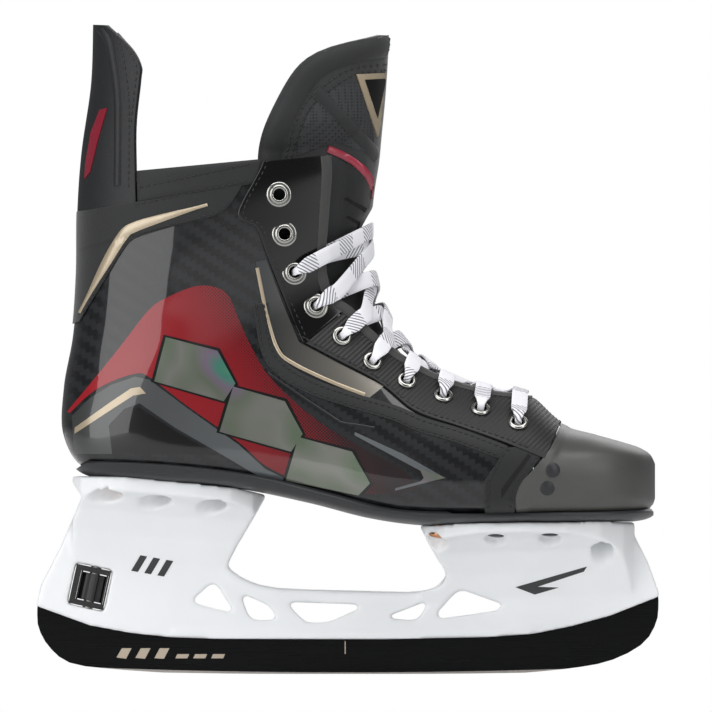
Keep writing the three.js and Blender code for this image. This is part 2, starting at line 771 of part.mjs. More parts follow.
// Rivets: along both edges of each flange, and one at the very back.
const rivetPlaces = [
  ...[-103.5, -80.8, -55.1].flatMap((x) => [
    [x, -0.7 * heelHalf],
    [x, 0.7 * heelHalf],
  ]),
  ...[43.7, 70.8, 96, 120].flatMap((x, i) => {
    const y = toeHalf * [0.66, 0.76, 0.74, 0.52][i];
    return [
      [x, -y],
      [x, y],
    ];
  }),
].map(([x, y]) => new THREE.Vector2(px(x), y * gradeY + swing(px(x))));
const underfoot = (place) => {
  const offset = Math.abs(place.y - swing(place.x));
  let z = backZ(8);
  let found;
  for (let i = 0; i < 6; i++) {
    const t = sectionAt(new THREE.Vector2(place.x, z));
    const { points } = ringAt(t);
    const k = Math.max(1, points.findIndex((p) => p.out >= offset));
    const f = (offset - points[k - 1].out) / (points[k].out - points[k - 1].out);
    const round = mix(points[k - 1].length, points[k].length, f);
    z = surface(t, round).z;
    found = [t, round * Math.sign(place.y - swing(place.x))];
  }
  return found;
};
const RIVET_FACETS = 8;
const rivetFrames = rivetPlaces.map((place) => standing(...underfoot(place)));
const flangeFace = soleOut + holderFlange + 0.4; // depth of the spot faces below the shell
const rivetProfile = [
  [0, -shellWall - 1.1],
  [rivetShank / 2 + 1, -shellWall - 1.1],
  [rivetShank / 2 + 1, -shellWall - fitGap],
  [rivetShank / 2, -shellWall - fitGap],
  [rivetShank / 2, flangeFace + 0.2],
  [rivetHead / 2, flangeFace + 0.2],
  [rivetHead / 3, flangeFace + rivetHeadHeight],
  [0, flangeFace + rivetHeadHeight],
];
const rivetShape = rivetProfile.map(([r, h]) => new THREE.Vector2(r, h));
// Room in the footbed for the rivets' inner ends, where the boot's shape brings them close.
const rivetRoom = wasm.Manifold.union(
  rivetFrames.map((matrix) =>
    rod(rivetShank / 2 + 1 + fitGap, -shellWall - 1.1 - fitGap, 0, RIVET_FACETS, matrix),
  ),
);
const rivets = rivetFrames.map((matrix) =>
  new THREE.LatheGeometry(rivetShape, RIVET_FACETS).applyMatrix4(matrix),
);
const shankHoles = wasm.Manifold.union(
  rivetFrames.flatMap((matrix) => [
    rod(rivetShank / 2 + 0.25, -12, 20, RIVET_FACETS, matrix),
    rod(rivetShank / 2 + 1.3, -12, 0.15 - shellWall - fitGap, RIVET_FACETS, matrix),
  ]),
);
const spotFaces = wasm.Manifold.union(
  rivetFrames.map((matrix) => rod(rivetHead / 2 + 1.2, flangeFace, flangeFace + 30, 10, matrix)),
);

const slotHalf = bladeThickness / 2 + slotClearance;
const slotTop = shift(lowerEdge, 0, bladeInSlot + 1);
const pinAt = at(121, 41);
const tabHalf = 5.5;
const lockTabTop = -windowHalfV - 0.5;
const lockLip = 2.5; // steel over the lock screw's head
const lockHead = 2.8; // height of that head
const pocketTop = lockTabTop - lockLip;
const headTop = pocketTop - 0.3;
const pocketFoot = headTop - lockHead - 0.4;
const slotOutline = [
  new THREE.Vector2(px(-160), 0),
  new THREE.Vector2(px(160), 0),
  new THREE.Vector2(px(160), slotTop.at(-1).y + 4),
  ...[...slotTop].reverse(),
  new THREE.Vector2(px(-160), slotTop[0].y + 4),
];
const slotCut = wasm.Manifold.union([
  solidOf(plate(slotOutline, -slotHalf, slotHalf)),
  solidOf(plate(lockRect(-7.6, 8.4, -24, -windowHalfV + 0.2), -slotHalf, slotHalf)),
  solidOf(
    plate(
      [
        new THREE.Vector2(pinAt.x - tabHalf - 1, 10),
        new THREE.Vector2(pinAt.x + tabHalf + 1, 10),
        new THREE.Vector2(pinAt.x + tabHalf + 1, pinAt.y + tabHalf + 1),
        new THREE.Vector2(pinAt.x - tabHalf - 1, pinAt.y + tabHalf + 1),
      ],
      -slotHalf,
      slotHalf,
    ),
  ),
]);
const crossRod = (centre, radius, half, facets) =>
  solidOf(
    new THREE.CylinderGeometry(radius, radius, 2 * half, facets).translate(centre.x, 0, centre.y),
  );

const web = solidOf(plate(sideOutline, -webHalf, webHalf));
const lockBoreFoot = -windowHalfV - 1.4 - lockTravel;
const lockWindow = solidOf(
  plate(lockRect(-windowHalfU, windowHalfU, -windowHalfV, windowHalfV), -30, 30),
);
const holderSolid = largest(
  web
    .add(flare(toePlan, toeHalf * gradeY, [at(34, 70.6), at(136, 74.2)]))
    .add(flare(heelPlan, heelHalf * gradeY, [at(-131, 93), at(-39, 85.6)]))
    .subtract(body(soleOut))
    .subtract(hollow(toeHalf * gradeY, at(52, 70.6), at(126, 74.2), 0.035))
    .subtract(hollow(heelHalf * gradeY, at(-118, 91.8), at(-54, 86), -0.09))
    .subtract(wasm.Manifold.union(trussHoles.map((hole) => solidOf(plate(hole, -30, 30)))))
    .subtract(slotCut)
    .subtract(lockWindow)
    .subtract(lockRod(lockScrewDiameter / 2 + 0.3, lockBoreFoot, windowHalfV + 7, 12))
    .subtract(crossRod(pinAt, pinDiameter / 2 + 0.1, webHalf - 0.9, 12))
    .subtract(spotFaces)
    .subtract(shankHoles),
);

// ---- Runner ----
const rocker = (x) => Math.max(0, Math.abs(x) - rockerFlat / 2) ** 2 / (2 * rockerRadius);
const runnerTop = shift(lowerEdge.slice(1, -1), 0, bladeInSlot);
const heelCurve = smooth(
  [at(-88, rocker(88)), at(-110, 2.2), at(-131, 4.9), at(-141.4, 12.2), at(-147, 22), at(-147.6, 31)],
  12,
);
const toeCurve = smooth(
  [at(147.5, 35), at(146.6, 25), at(140, 14.4), at(124.5, 6.3), at(106, 2.7), at(84, rocker(84))],
  12,
);
const flatSteps = [-60, -42, -25, 25, 42, 60].map((x) => at(x, rocker(x)));
const runnerSolid = largest(
  solidOf(
    plate(
      [
        ...heelCurve.slice().reverse(),
        ...flatSteps,
        ...toeCurve.slice().reverse(),
        new THREE.Vector2(toeCurve[0].x - 0.4, lowerEdge.at(-1).y + bladeInSlot - 1),
        ...runnerTop.slice().reverse(),
        new THREE.Vector2(heelCurve.at(-1).x + 0.4, lowerEdge[0].y + bladeInSlot - 1),
      ],
      -bladeThickness / 2,
      bladeThickness / 2,
    ),
  )
    .add(
      solidOf(
        plate(
          [
            new THREE.Vector2(pinAt.x - tabHalf, pinAt.y - 14),
            new THREE.Vector2(pinAt.x + tabHalf, pinAt.y - 14),
            new THREE.Vector2(pinAt.x + tabHalf, pinAt.y + tabHalf - 1),
            new THREE.Vector2(pinAt.x - tabHalf, pinAt.y + tabHalf - 1),
          ],
          -bladeThickness / 2,
          bladeThickness / 2,
        ),
      ),
    )
    .add(
      solidOf(
        plate(lockRect(-6.8, 7.6, -20, lockTabTop), -bladeThickness / 2, bladeThickness / 2),
      ),
    )
    .subtract(crossRod(pinAt, pinDiameter / 2 + 0.1, 5, 12))
    .subtract(solidOf(plate(lockRect(-2.7, 3.4, pocketTop - 1, 0), -5, 5)))
    .subtract(solidOf(plate(lockRect(-5.2, 5.4, pocketFoot, pocketTop), -5, 5))),
);

// ---- Blade lock ----
const pocketHalfU = wheelDiameter / 2 + wheelRoom;
const pocketHalfV = wheelHeight / 2 + wheelRoom;
const housingHalfY = webHalf + 0.2;
const housingHalfU = windowHalfU - fitGap;
const housingHalfV = windowHalfV - fitGap;
const wheelPocket = lockRect(
  wheelU - pocketHalfU,
  wheelU + pocketHalfU,
  -pocketHalfV,
  pocketHalfV,
);
const housingSolid = solidOf(
  plate(
    lockRect(-housingHalfU, housingHalfU, -housingHalfV, housingHalfV),
    -housingHalfY,
    housingHalfY,
  ),
)
  .subtract(solidOf(plate(wheelPocket, -20, 20)))
  .subtract(lockRod(lockScrewDiameter / 2 + 0.3, -windowHalfV - 3, windowHalfV + 3, 12));

const ribCount = 16;
const wheelOutline = Array.from({ length: 2 * ribCount }, (_, i) => {
  const angle = (Math.PI * (i + 0.5)) / ribCount;
  const radius = wheelDiameter / 2 - (Math.floor(i / 2) % 2 ? 0.8 : 0);
  return new THREE.Vector2(radius * Math.cos(angle), radius * Math.sin(angle));
});
const wheelShape = new THREE.Shape(wheelOutline);
const screwRoom = 0.15; // round the screw in the wheel
wheelShape.holes.push(
  new THREE.Path().absarc(0, 0, lockScrewDiameter / 2 + screwRoom, 0, 2 * Math.PI, true),
);
const wheelCentre = inLock(wheelU, 0);
const wheelGeometry = new THREE.ExtrudeGeometry(wheelShape, {
  depth: wheelHeight,
  bevelEnabled: false,
  curveSegments: 6,
})
  .translate(0, 0, -wheelHeight / 2)
  .rotateY(lockLean)
  .translate(wheelCentre.x, 0, wheelCentre.y);

const screwFoot = -windowHalfV - 0.6;
const screwSolid = lockRod(lockScrewDiameter / 2, screwFoot - 0.4, windowHalfV + 1, 12)
  .intersect(solidOf(plate(lockRect(-20, 20, screwFoot, 40), -20, 20)))
  .add(solidOf(plate(lockRect(-1, 3, headTop - 1, screwFoot + 2), -1.5, 1.5)))
  .add(solidOf(plate(lockRect(-3, 5, headTop - lockHead, headTop), -1.5, 1.5)));

// ---- The lace ----
// One flat lace comes up out of every eyelet, crosses the tongue and goes under the other facing.
const overLoops = (side, k, path) => {
  const [t, round] = eyeletPlaces[k];
  const setback = topLength(t) - round;
  const lip = throat(t);
  path.push([t, side * (lip - 3), -5.8, 1]);
  path.push([t, side * (setback - 7.5), -5.9, 1]);
  path.push([t, side * (setback - 4.9), -5.95, 0.5]);
  path.push([t, side * (setback - 1.2), -5.3, 0.42]);
  path.push([t, side * (setback - 0.1), -2.6, 0.42]);
  path.push([t, side * (setback - 0.1), 1.6, 0.42]);
  path.push([t, side * (setback - 0.8), 4.3, 0.45]);
  path.push([t, side * (setback - 3.4), 5.2, 0.7]);
  path.push([t, side * (setback - 7), 4.7, 1]);
  path.push([t, side * (lip + 1), 4.2, 1]);
  path.push([t, side * (lip - 4), 2.8, 1]);
};
const middle = (from, to, level, side, path) => {
  const [a, b] = [eyeletPlaces[from][0], eyeletPlaces[to][0]];
  const reach = 0.42 * throat((a + b) / 2);
  for (const share of [-1, 0, 1])
    path.push([mix(a, b, 0.5 + 0.22 * share), -side * share * reach, level, 1]);
};
const halfLace = (start, level) => {
  const path = [];
  let side = start;
  for (let k = eyeletCount - 1; k >= laceFirstEyelet; k--) {
    overLoops(side, k, path);
    if (k > laceFirstEyelet) middle(k, k - 1, level, side, path);
    side = -side;
  }
  return path;
};
const lacePoint = ([t, round, out]) => {
  const from = topLength(t);
  return surface(t, round < 0 ? -(from + round) : from - round, out);
};
// The last strands cross over the tongue and are tucked up behind the other facing.
const tuck = (side, level) => {
  const [t] = eyeletPlaces[laceFirstEyelet];
  const lip = throat(t);
  const behind = [0.75, 1.2, 1.7, 2.2].map((rise) => [
    t + rise,
    -side * (throat(t + rise) + 4.6),
    -5.2,
    rise > 2 ? 0.8 : 1,
  ]);
  return [
    [t + 0.02, side * 0.42 * lip, level, 1],
    [t + 0.03, 0, level, 1],
    [t + 0.04, -side * 0.42 * lip, level, 1],
    [t + 0.1, -side * (lip - 3), -3.8, 1],
    [t + 0.3, -side * (lip + 3), -5.1, 1],
    ...behind,
  ];
};
const lacePath = () => {
  const [t] = eyeletPlaces[eyeletCount - 1];
  const turns = eyeletCount - 1 - laceFirstEyelet;
  const lastSide = (start) => (turns % 2 ? -start : start);
  const one = [...halfLace(-1, -0.8), ...tuck(lastSide(-1), -0.8)];
  const other = [...halfLace(1, -2.8), ...tuck(lastSide(1), -2.8)];
  return [...one.reverse(), [t, 0, -5.6, 1], ...other];
};
const ribbon = (path, width, thickness) => {
  const centres = path.map(lacePoint);
  const rows = path.map(([t, round, out, gather], i) => {
    const tangent = centres[Math.min(i + 1, path.length - 1)]
      .clone()
      .sub(centres[Math.max(i - 1, 0)])
      .normalize();
    const across = lacePoint([t + 0.05, round, out]).sub(lacePoint([t - 0.05, round, out]));
    across.addScaledVector(tangent, -across.dot(tangent)).normalize();
    const up = new THREE.Vector3().crossVectors(tangent, across);
    return [
      [1, 1],
      [-1, 1],
      [-1, -1],
      [1, -1],
    ].map(([a, b]) =>
      centres[i]
        .clone()
        .addScaledVector(across, (a * width * gather) / 2)
        .addScaledVector(up, (b * thickness) / 2),
    );
  });
  return closedGrid(rows);
};

// ---- Assembly ----
const shellSolid = shellSides.intersect(shellRegion).subtract(allBores).subtract(shankHoles);
add("boot_shell", largest(shellSolid), 0x26262a, 0.35);
add("outsole", outsoleSolid.subtract(shankHoles), 0x3a3a3d, 0.6);
add("footbed", largest(footbedSolid.subtract(rivetRoom)), 0x333336, 0.9);
add("toe_cap", toeCapSolid.subtract(shankHoles), 0x4a4a48, 0.55);
add("ankle_liner", linerSolid, 0x1f1f22, 0.95);
for (const [sideName, side] of sides) {
  const pad = collarLayer
    .intersect(sideOf(side))
    .intersect(beside(guardFront, 1, 0.6))
    .intersect(beside(collarFront, -1, -0.6));
  add(`collar_pad_${sideName}`, largest(pad), 0x2a2a2c, 0.8);
}
add("tendon_guard", guardSolid, 0x2e2e30, 0.6);
add("tendon_guard_lining", guardLiningSolid, 0x2a2a2c, 0.9);
const foldGap = 0.04; // of a section, between the two stretches of the tongue
add("tongue_lower", largest(tongueSolid.subtract(beyond(tongueFold - foldGap))), 0x39393a, 0.8);
add("tongue_upper", largest(tongueSolid.intersect(beyond(tongueFold))), 0x39393a, 0.8);
for (const [sideName, side] of sides) {
  const facing = facingLayer.intersect(sideOf(side)).subtract(allBores);
  add(`facing_upper_${sideName}`, largest(facing.intersect(facingUpperRegion)), 0x0b0c0e, 0.15);
  add(`facing_lower_${sideName}`, largest(facing.intersect(facingLowerRegion)), 0x333333, 0.6);
}
for (const [name, geometry] of eyelets) add(name, geometry, 0x9a9a98, 0.3, 1);
add("lace", ribbon(lacePath(), laceWidth, laceThickness), 0xe8e8ee, 0.9);
add("holder", holderSolid, 0xf2f3f4, 0.35);
add("runner", runnerSolid, 0x0c0d0e, 0.25, 1);
const pinRadius = pinDiameter / 2;
const pinGeometry = new THREE.CylinderGeometry(pinRadius, pinRadius, 2 * (webHalf - 1.1), 12);
add("runner_pin", pinGeometry.translate(pinAt.x, 0, pinAt.y), 0x999999, 0.3, 1);
add("lock_housing", housingSolid, 0x101010, 0.5);
add("lock_wheel", wheelGeometry, 0x151515, 0.5);
add("lock_screw", screwSolid, 0x999999, 0.3, 1);
rivets.forEach((geometry, i) => add(`rivet_${i + 1}`, geometry, 0x8a8a88, 0.3, 1));

export default group;
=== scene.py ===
import functools
import math

import bpy
import numpy as np
from mathutils import Matrix, Vector
from mathutils.bvhtree import BVHTree
from mathutils.geometry import delaunay_2d_cdt


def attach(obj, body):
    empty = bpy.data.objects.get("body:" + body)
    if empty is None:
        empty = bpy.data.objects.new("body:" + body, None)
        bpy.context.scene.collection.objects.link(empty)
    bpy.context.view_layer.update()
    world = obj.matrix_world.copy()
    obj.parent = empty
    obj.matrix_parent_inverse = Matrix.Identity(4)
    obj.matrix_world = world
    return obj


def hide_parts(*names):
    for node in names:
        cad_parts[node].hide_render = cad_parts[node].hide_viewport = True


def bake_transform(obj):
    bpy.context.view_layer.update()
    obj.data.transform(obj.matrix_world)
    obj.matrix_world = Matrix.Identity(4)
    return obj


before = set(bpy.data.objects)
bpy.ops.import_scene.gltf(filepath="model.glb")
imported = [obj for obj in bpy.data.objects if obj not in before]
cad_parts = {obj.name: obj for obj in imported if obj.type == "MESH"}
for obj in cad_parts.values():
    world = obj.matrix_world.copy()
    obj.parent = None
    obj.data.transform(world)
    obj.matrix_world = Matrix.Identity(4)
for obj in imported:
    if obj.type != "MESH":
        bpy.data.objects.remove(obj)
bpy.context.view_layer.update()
MM = 0.001

# ---- Camera ----
# A level view square to the outer side of the skate, as wide as the skate and a margin.
VIEW_WIDTH = 338.2 * MM
camera_data = bpy.data.cameras.new("camera")
camera_data.type = "ORTHO"
camera_data.ortho_scale = VIEW_WIDTH
camera = bpy.data.objects.new("camera", camera_data)
camera.location = (3.8 * MM, -1.5, 151 * MM)
camera.rotation_euler = (math.pi / 2, 0, 0)
bpy.context.scene.collection.objects.link(camera)
bpy.context.scene.camera = camera

# ---- Studio ----
# A pale floor under a white sweep. A tall softbox on the heel side makes the long reflection on
# the rear quarter, a second one in front lifts the toe, and a wide one above lights the tops.


def colour(code):
    """A linear colour with alpha from an sRGB hex code such as "c8b8a0"."""
    parts = [int(code[k : k + 2], 16) / 255 for k in (0, 2, 4)]
    return [p / 12.92 if p <= 0.04045 else ((p + 0.055) / 1.055) ** 2.4 for p in parts] + [1]


def node(tree, kind, inputs=None, **settings):
    """Adds a node with its settings; an input is a value, a socket, or a node's first output."""
    made = tree.nodes.new(kind)
    for key, value in settings.items():
        setattr(made, key, value)
    for key, value in (inputs or {}).items():
        if isinstance(value, bpy.types.Node):
            value = value.outputs[0]
        if isinstance(value, bpy.types.NodeSocket):
            tree.links.new(value, made.inputs[key])
        else:
            made.inputs[key].default_value = value
    return made


def new_material(name, code, roughness, metallic=0.0, **sockets):
    """A material of that name, its node tree and its shader."""
    made = bpy.data.materials.new(name)
    made.use_nodes = True
    tree = made.node_tree
    shader = tree.nodes["Principled BSDF"]
    shader.inputs["Base Color"].default_value = colour(code)
    shader.inputs["Roughness"].default_value = roughness
    shader.inputs["Metallic"].default_value = metallic
    for key, value in sockets.items():
        shader.inputs[key.replace("_", " ").title().replace("Ior", "IOR")].default_value = value
    return made, tree, shader


bpy.ops.object.select_all(action="DESELECT")
bpy.ops.mesh.primitive_plane_add(size=8, location=(0, 0, -0.0002))
floor = bpy.context.object
floor.name = "studio_floor"
floor_paint, _, _ = new_material("matt floor paint", "efefef", 0.6)
floor.data.materials.append(floor_paint)

world = bpy.context.scene.world or bpy.data.worlds.new("studio")
bpy.context.scene.world = world
world.use_nodes = True
tree = world.node_tree
tree.nodes.clear()
fill = node(tree, "ShaderNodeBackground", {"Color": colour("f4f5f8"), "Strength": 0.17})
sweep = node(tree, "ShaderNodeBackground", {"Color": [1, 1, 1, 1], "Strength": 1.0})
seen = node(tree, "ShaderNodeLightPath")
both = node(tree, "ShaderNodeMixShader", {0: seen.outputs["Is Camera Ray"], 1: fill, 2: sweep})
node(tree, "ShaderNodeOutputWorld", {"Surface": both})
bpy.context.scene.view_settings.view_transform = "Standard"

for name, place, size, power in [
    ("heel softbox", (-1.1, -1.15, 0.45), (1.5, 1.6), 22),
    ("front softbox", (1.3, -1.2, 0.9), (0.5, 1.4), 9),
    ("top softbox", (0.1, -0.5, 1.5), (1.6, 0.8), 17),
    ("back softbox", (0.2, 1.5, 0.9), (1.6, 0.8), 9),
]:
    lamp = bpy.data.lights.new(name, "AREA")
    lamp.shape = "RECTANGLE"
    lamp.size, lamp.size_y = size
    lamp.energy = power
    stand = bpy.data.objects.new(name, lamp)
    stand.location = place
    aim = Vector((0, 0, 0.14)) - Vector(place)
    stand.rotation_euler = aim.to_track_quat("-Z", "Y").to_euler()
    bpy.context.scene.collection.objects.link(stand)

# ---- Boot shell ----
# The quarters: carbon fibre in clear resin, moulded over the last in one piece, open along the
# instep. It is laid over the same sections as the last: back and front point, half width, widest
# share, squareness below and above, and how far the lacing edge lies from the top.
SECTIONS = [
    (145.0, 84, 145.0, 99, 3, 0.45, 3, 2.6, 17),
    (142.5, 78, 142.8, 103.5, 17, 0.45, 3.4, 2.8, 17),
    (136, 75.6, 137.5, 107.4, 29, 0.45, 4, 3, 17),
    (127, 75.2, 129, 110.2, 37, 0.45, 4.2, 3, 17),
    (116, 74.6, 117, 113.6, 42.5, 0.45, 4.2, 2.7, 17),
    (100, 74.0, 101, 118.6, 46.8, 0.43, 4.4, 2.2, 17),
    (82, 73.6, 85, 132.2, 49.4, 0.4, 4.4, 1.9, 17.5),
    (58, 73.2, 66, 136.8, 50.5, 0.4, 4.4, 1.75, 18),
    (34, 73.6, 48, 143.6, 49, 0.4, 4.4, 1.68, 19),
    (10, 77, 35, 152.4, 46, 0.4, 4.6, 1.66, 21),
    (-18, 84, 26, 162, 42.5, 0.42, 5, 1.7, 24),
    (-52, 90.4, 19.5, 173, 39.5, 0.45, 6, 1.8, 28),
    (-92, 92.8, 15.5, 184, 37.6, 0.45, 6, 1.95, 31),
    (-123, 96.6, 13.5, 194, 36.6, 0.45, 4.4, 2.05, 38),
    (-135, 113, 12.4, 203, 37, 0.46, 3, 2.15, 41),
    (-135, 136, 12.2, 212, 38, 0.48, 2.3, 2.2, 42),
    (-130.6, 161, 12.8, 221, 39.5, 0.5, 2.3, 2.25, 43),
    (-128.4, 190, 14, 231, 41, 0.5, 2.3, 2.3, 44),
    (-128, 220, 16, 243, 42, 0.5, 2.3, 2.4, 46),
    (-126, 248, 17.5, 256, 41, 0.5, 2.3, 2.4, 48),
    (-121.5, 280, 20, 277, 38, 0.5, 2.3, 2.4, 50),
    (-120.5, 309, 22.5, 304, 34, 0.5, 2.3, 2.4, 52),
]
LAST = len(SECTIONS) - 1
TOE_SWING = 4
SIDES = (("lateral", -1), ("medial", 1))


def mix(a, b, f):
    return a + (b - a) * f


def smoothstep(low, high, value):
    f = min(max((value - low) / (high - low), 0), 1)
    return f * f * (3 - 2 * f)


def section_value(column, t):
    i = min(max(int(t), 0), LAST - 1)
    f = t - i
    a, b, c, d = (SECTIONS[min(max(i + k, 0), LAST)][column] for k in (-1, 0, 1, 2))
    return b + 0.5 * f * (c - a + f * (2 * a - 5 * b + 4 * c - d + f * (3 * (b - c) + d - a)))


rings = {}


def ring(t):
    """Half of section t: its back point, its direction, and along it the distance out, the rise,
    the normal and the length."""
    key = round(t, 4)
    if key not in rings:
        back = np.array([section_value(0, t), section_value(1, t)])
        along = np.array([section_value(2, t), section_value(3, t)]) - back
        height = np.hypot(*along)
        angle = np.linspace(0, math.pi, 121)
        c, s = np.abs(np.cos(angle)), np.abs(np.sin(angle))
        lower = angle < math.pi / 2
        n = 2 / np.where(lower, section_value(6, t), section_value(7, t))
        split = section_value(5, t) * height
        rise = np.where(lower, split * (1 - c**n), split + (height - split) * c**n)
        out = section_value(4, t) * s**n
        length = np.concatenate([[0], np.cumsum(np.hypot(np.diff(out), np.diff(rise)))])
        slope = np.stack([np.gradient(rise), -np.gradient(out)])
        slope[:, 0] = (0, -1)
        slope[:, -1] = (0, 1)
        slope /= np.maximum(np.hypot(*slope), 1e-9)
        rings[key] = (back, along / height, out, rise, slope, length)
    return rings[key]


def around(t):
    return ring(t)[5][-1]


def throat(t):
    return section_value(8, t)


def surface(t, length, lift=0.0):
    """A point on the last, in millimetres, moved outwards by lift. length runs round section t
    from its lower end, negative up the lateral side."""
    back, along, out, rise, slope, lengths = ring(t)
    at = min(abs(length), lengths[-1])
    far = np.interp(at, lengths, out) + lift * np.interp(at, lengths, slope[0])
    up = np.interp(at, lengths, rise) + lift * np.interp(at, lengths, slope[1])
    x, z = back + along * up
    swing = TOE_SWING * max(0, (x + 20) / 165) ** 2
    side = -1 if length < 0 else 1
    return np.array([x + lift * max(0, 1 - t / 4), side * far + swing, z])


def smooth(points, count):
    """Points along a smooth curve through the given ones."""
    ends = [points[0], *points, points[-1]]
    made = []
    for k in range(count + 1):
        s = k / count * (len(points) - 1)
        i = min(int(s), len(points) - 2)
        a, b, c, d = (np.array(p, float) for p in ends[i : i + 4])
        f = s - i
        made.append(b + 0.5 * f * (c - a + f * (2 * a - 5 * b + 4 * c - d + f * (3 * (b - c) + d - a))))
    return made


crossings = {}


def round_on(t, curve):
    """The length round section t at which it crosses a curve of [x, z] points."""
    key = (round(t, 5), len(curve), *curve[0], *curve[-1])
    if key not in crossings:
        back, along, out, rise, slope, lengths = ring(t)
        up = 0
        for p, q in zip(curve, curve[1:]):
            step, gap = q - p, p - back
            turn = along[0] * step[1] - along[1] * step[0]
            share = (gap[0] * along[1] - gap[1] * along[0]) / turn
            up = (gap[0] * step[1] - gap[1] * step[0]) / turn
            if 0 <= share <= 1:
                break
        crossings[key] = float(np.interp(up, rise, lengths))
    return crossings[key]


def mesh_object(name, points, faces):
    mesh = bpy.data.meshes.new(name)
    mesh.from_pydata([tuple(p) for p in points], [], faces)
    made = bpy.data.objects.new(name, mesh)
    bpy.context.scene.collection.objects.link(made)
    return made


def only(made):
    bpy.ops.object.select_all(action="DESELECT")
    made.select_set(True)
    bpy.context.view_layer.objects.active = made


def recalculate(made):
    only(made)
    bpy.ops.object.mode_set(mode="EDIT")
    bpy.ops.mesh.select_all(action="SELECT")
    bpy.ops.mesh.normals_make_consistent(inside=False)
    bpy.ops.object.mode_set(mode="OBJECT")


def apply_modifier(made, kind, **settings):
    only(made)
    added = made.modifiers.new(kind.title(), kind)
    for key, value in settings.items():
        setattr(added, key, value)
    bpy.ops.object.modifier_apply(modifier=added.name)


def layered(name, outer, inner, loop=False, edge=0.4, nose=False):
    """A closed sheet between two grids of points in millimetres, with its rim rounded, and a UV
    map in metres along and across it. A nose closes a looped sheet's first row."""
    rows, columns = outer.shape[:2]
    points = np.concatenate([outer.reshape(-1, 3), inner.reshape(-1, 3)]) * MM
    half = rows * columns
    wide = columns if loop else columns - 1
    faces = []
    for i in range(rows - 1):
        for j in range(wide):
            a, b = i * columns + j, i * columns + (j + 1) % columns
            c, d = b + columns, a + columns
            faces += [(a, b, c, d), (half + d, half + c, half + b, half + a)]
    rim = []
    if nose:
        faces += [tuple(range(columns)), tuple(half + j for j in range(columns))]
    for i in (rows - 1,) if nose else (0, rows - 1):
        rim += [(i * columns + j, i * columns + (j + 1) % columns) for j in range(wide)]
    if not loop:
        for j in (0, columns - 1):
            rim += [(i * columns + j, (i + 1) * columns + j) for i in range(rows - 1)]
    faces += [(a, b, half + b, half + a) for a, b in rim]
    made = mesh_object(name, points, faces)
    along = np.zeros((rows, columns))
    along[1:] = np.cumsum(np.linalg.norm(np.diff(outer[:, columns // 2], axis=0), axis=1))[:, None]
    across = np.zeros((rows, columns))
    across[:, 1:] = np.cumsum(np.linalg.norm(np.diff(outer, axis=1), axis=2), axis=1)
    across -= across[:, -1:] / 2
    flat = np.stack([along, across], axis=2).reshape(-1, 2) * MM
    flat = np.concatenate([flat, flat])
    chart = made.data.uv_layers.new(name="sheet")
    corners = np.zeros(len(made.data.loops), int)
    made.data.loops.foreach_get("vertex_index", corners)
    chart.data.foreach_set("uv", flat[corners].ravel())
    recalculate(made)
    if edge:
        apply_modifier(made, "BEVEL", width=edge * MM, segments=2, limit_method="ANGLE",
                       angle_limit=1.0)
    made.data.shade_smooth()
    bpy.ops.object.shade_smooth_by_angle(angle=0.7)
    return made


def skin(name, place, steps, across, high, low, loop=False, edge=0.4, nose=False):
    """A sheet over the last. place(u, v) gives a section and a length round it, and high and low
    are how far its two faces stand off the last, or functions of u, v, t and the length."""
    faces = []
    for lift in (high, low):
        grid = np.zeros((steps + 1, across + (0 if loop else 1), 3))
        for i in range(steps + 1):
            for j in range(grid.shape[1]):
                u, v = i / steps, j / across
                t, length = place(u, v)
                grid[i, j] = surface(t, length, lift(u, v, t, length) if callable(lift) else lift)
        faces.append(grid)
    return layered(name, faces[0], faces[1], loop, edge, nose)


def coat(made, finish):
    """The mesh's only material."""
    made.data.materials.clear()
    made.data.materials.append(finish)


def dress(made, body, slot, finish, *nodes):
    """Gives a piece its finish, lets it ride, and hides the CAD nodes it stands for; its slot is not
    used.
    """
    coat(made, finish)
    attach(made, body)
    if nodes:
        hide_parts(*nodes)
    return made


def joined(name, pieces):
    only(pieces[0])
    for piece in pieces:
        piece.select_set(True)
    bpy.ops.object.join()
    pieces[0].name = name
    return pieces[0]


SHELL_WALL = 2.4
COLLAR = 18
QUARTERS_FROM = 5.75


def quarters_place(u, v):
    t = mix(QUARTERS_FROM, COLLAR, u)
    return t, (2 * v - 1) * (around(t) - throat(t))


quarters = skin(
    "quarters",
    quarters_place,
    150,
    150,
    0,
    -SHELL_WALL,
)
vamp = skin(
    "vamp",
    lambda u, v: (mix(3, 5.74, u), (2 * v - 1) * around(mix(3, 5.74, u))),
    30,
    120,
    0,
    -SHELL_WALL,
    loop=True,
)


def eyestay_backing(side):
    def place(u, v):
        t = mix(COLLAR + 0.02, 18.46, u)
        rear = round_on(t, [np.array([-45.0, 200.0]), np.array([-45.0, 300.0])])
        return t, side * mix(rear, around(t) - throat(t), v)

    return skin("backing", place, 6, 24, 0, -SHELL_WALL)


shell = joined("quarter_shell", [quarters, vamp, eyestay_backing(-1), eyestay_backing(1)])
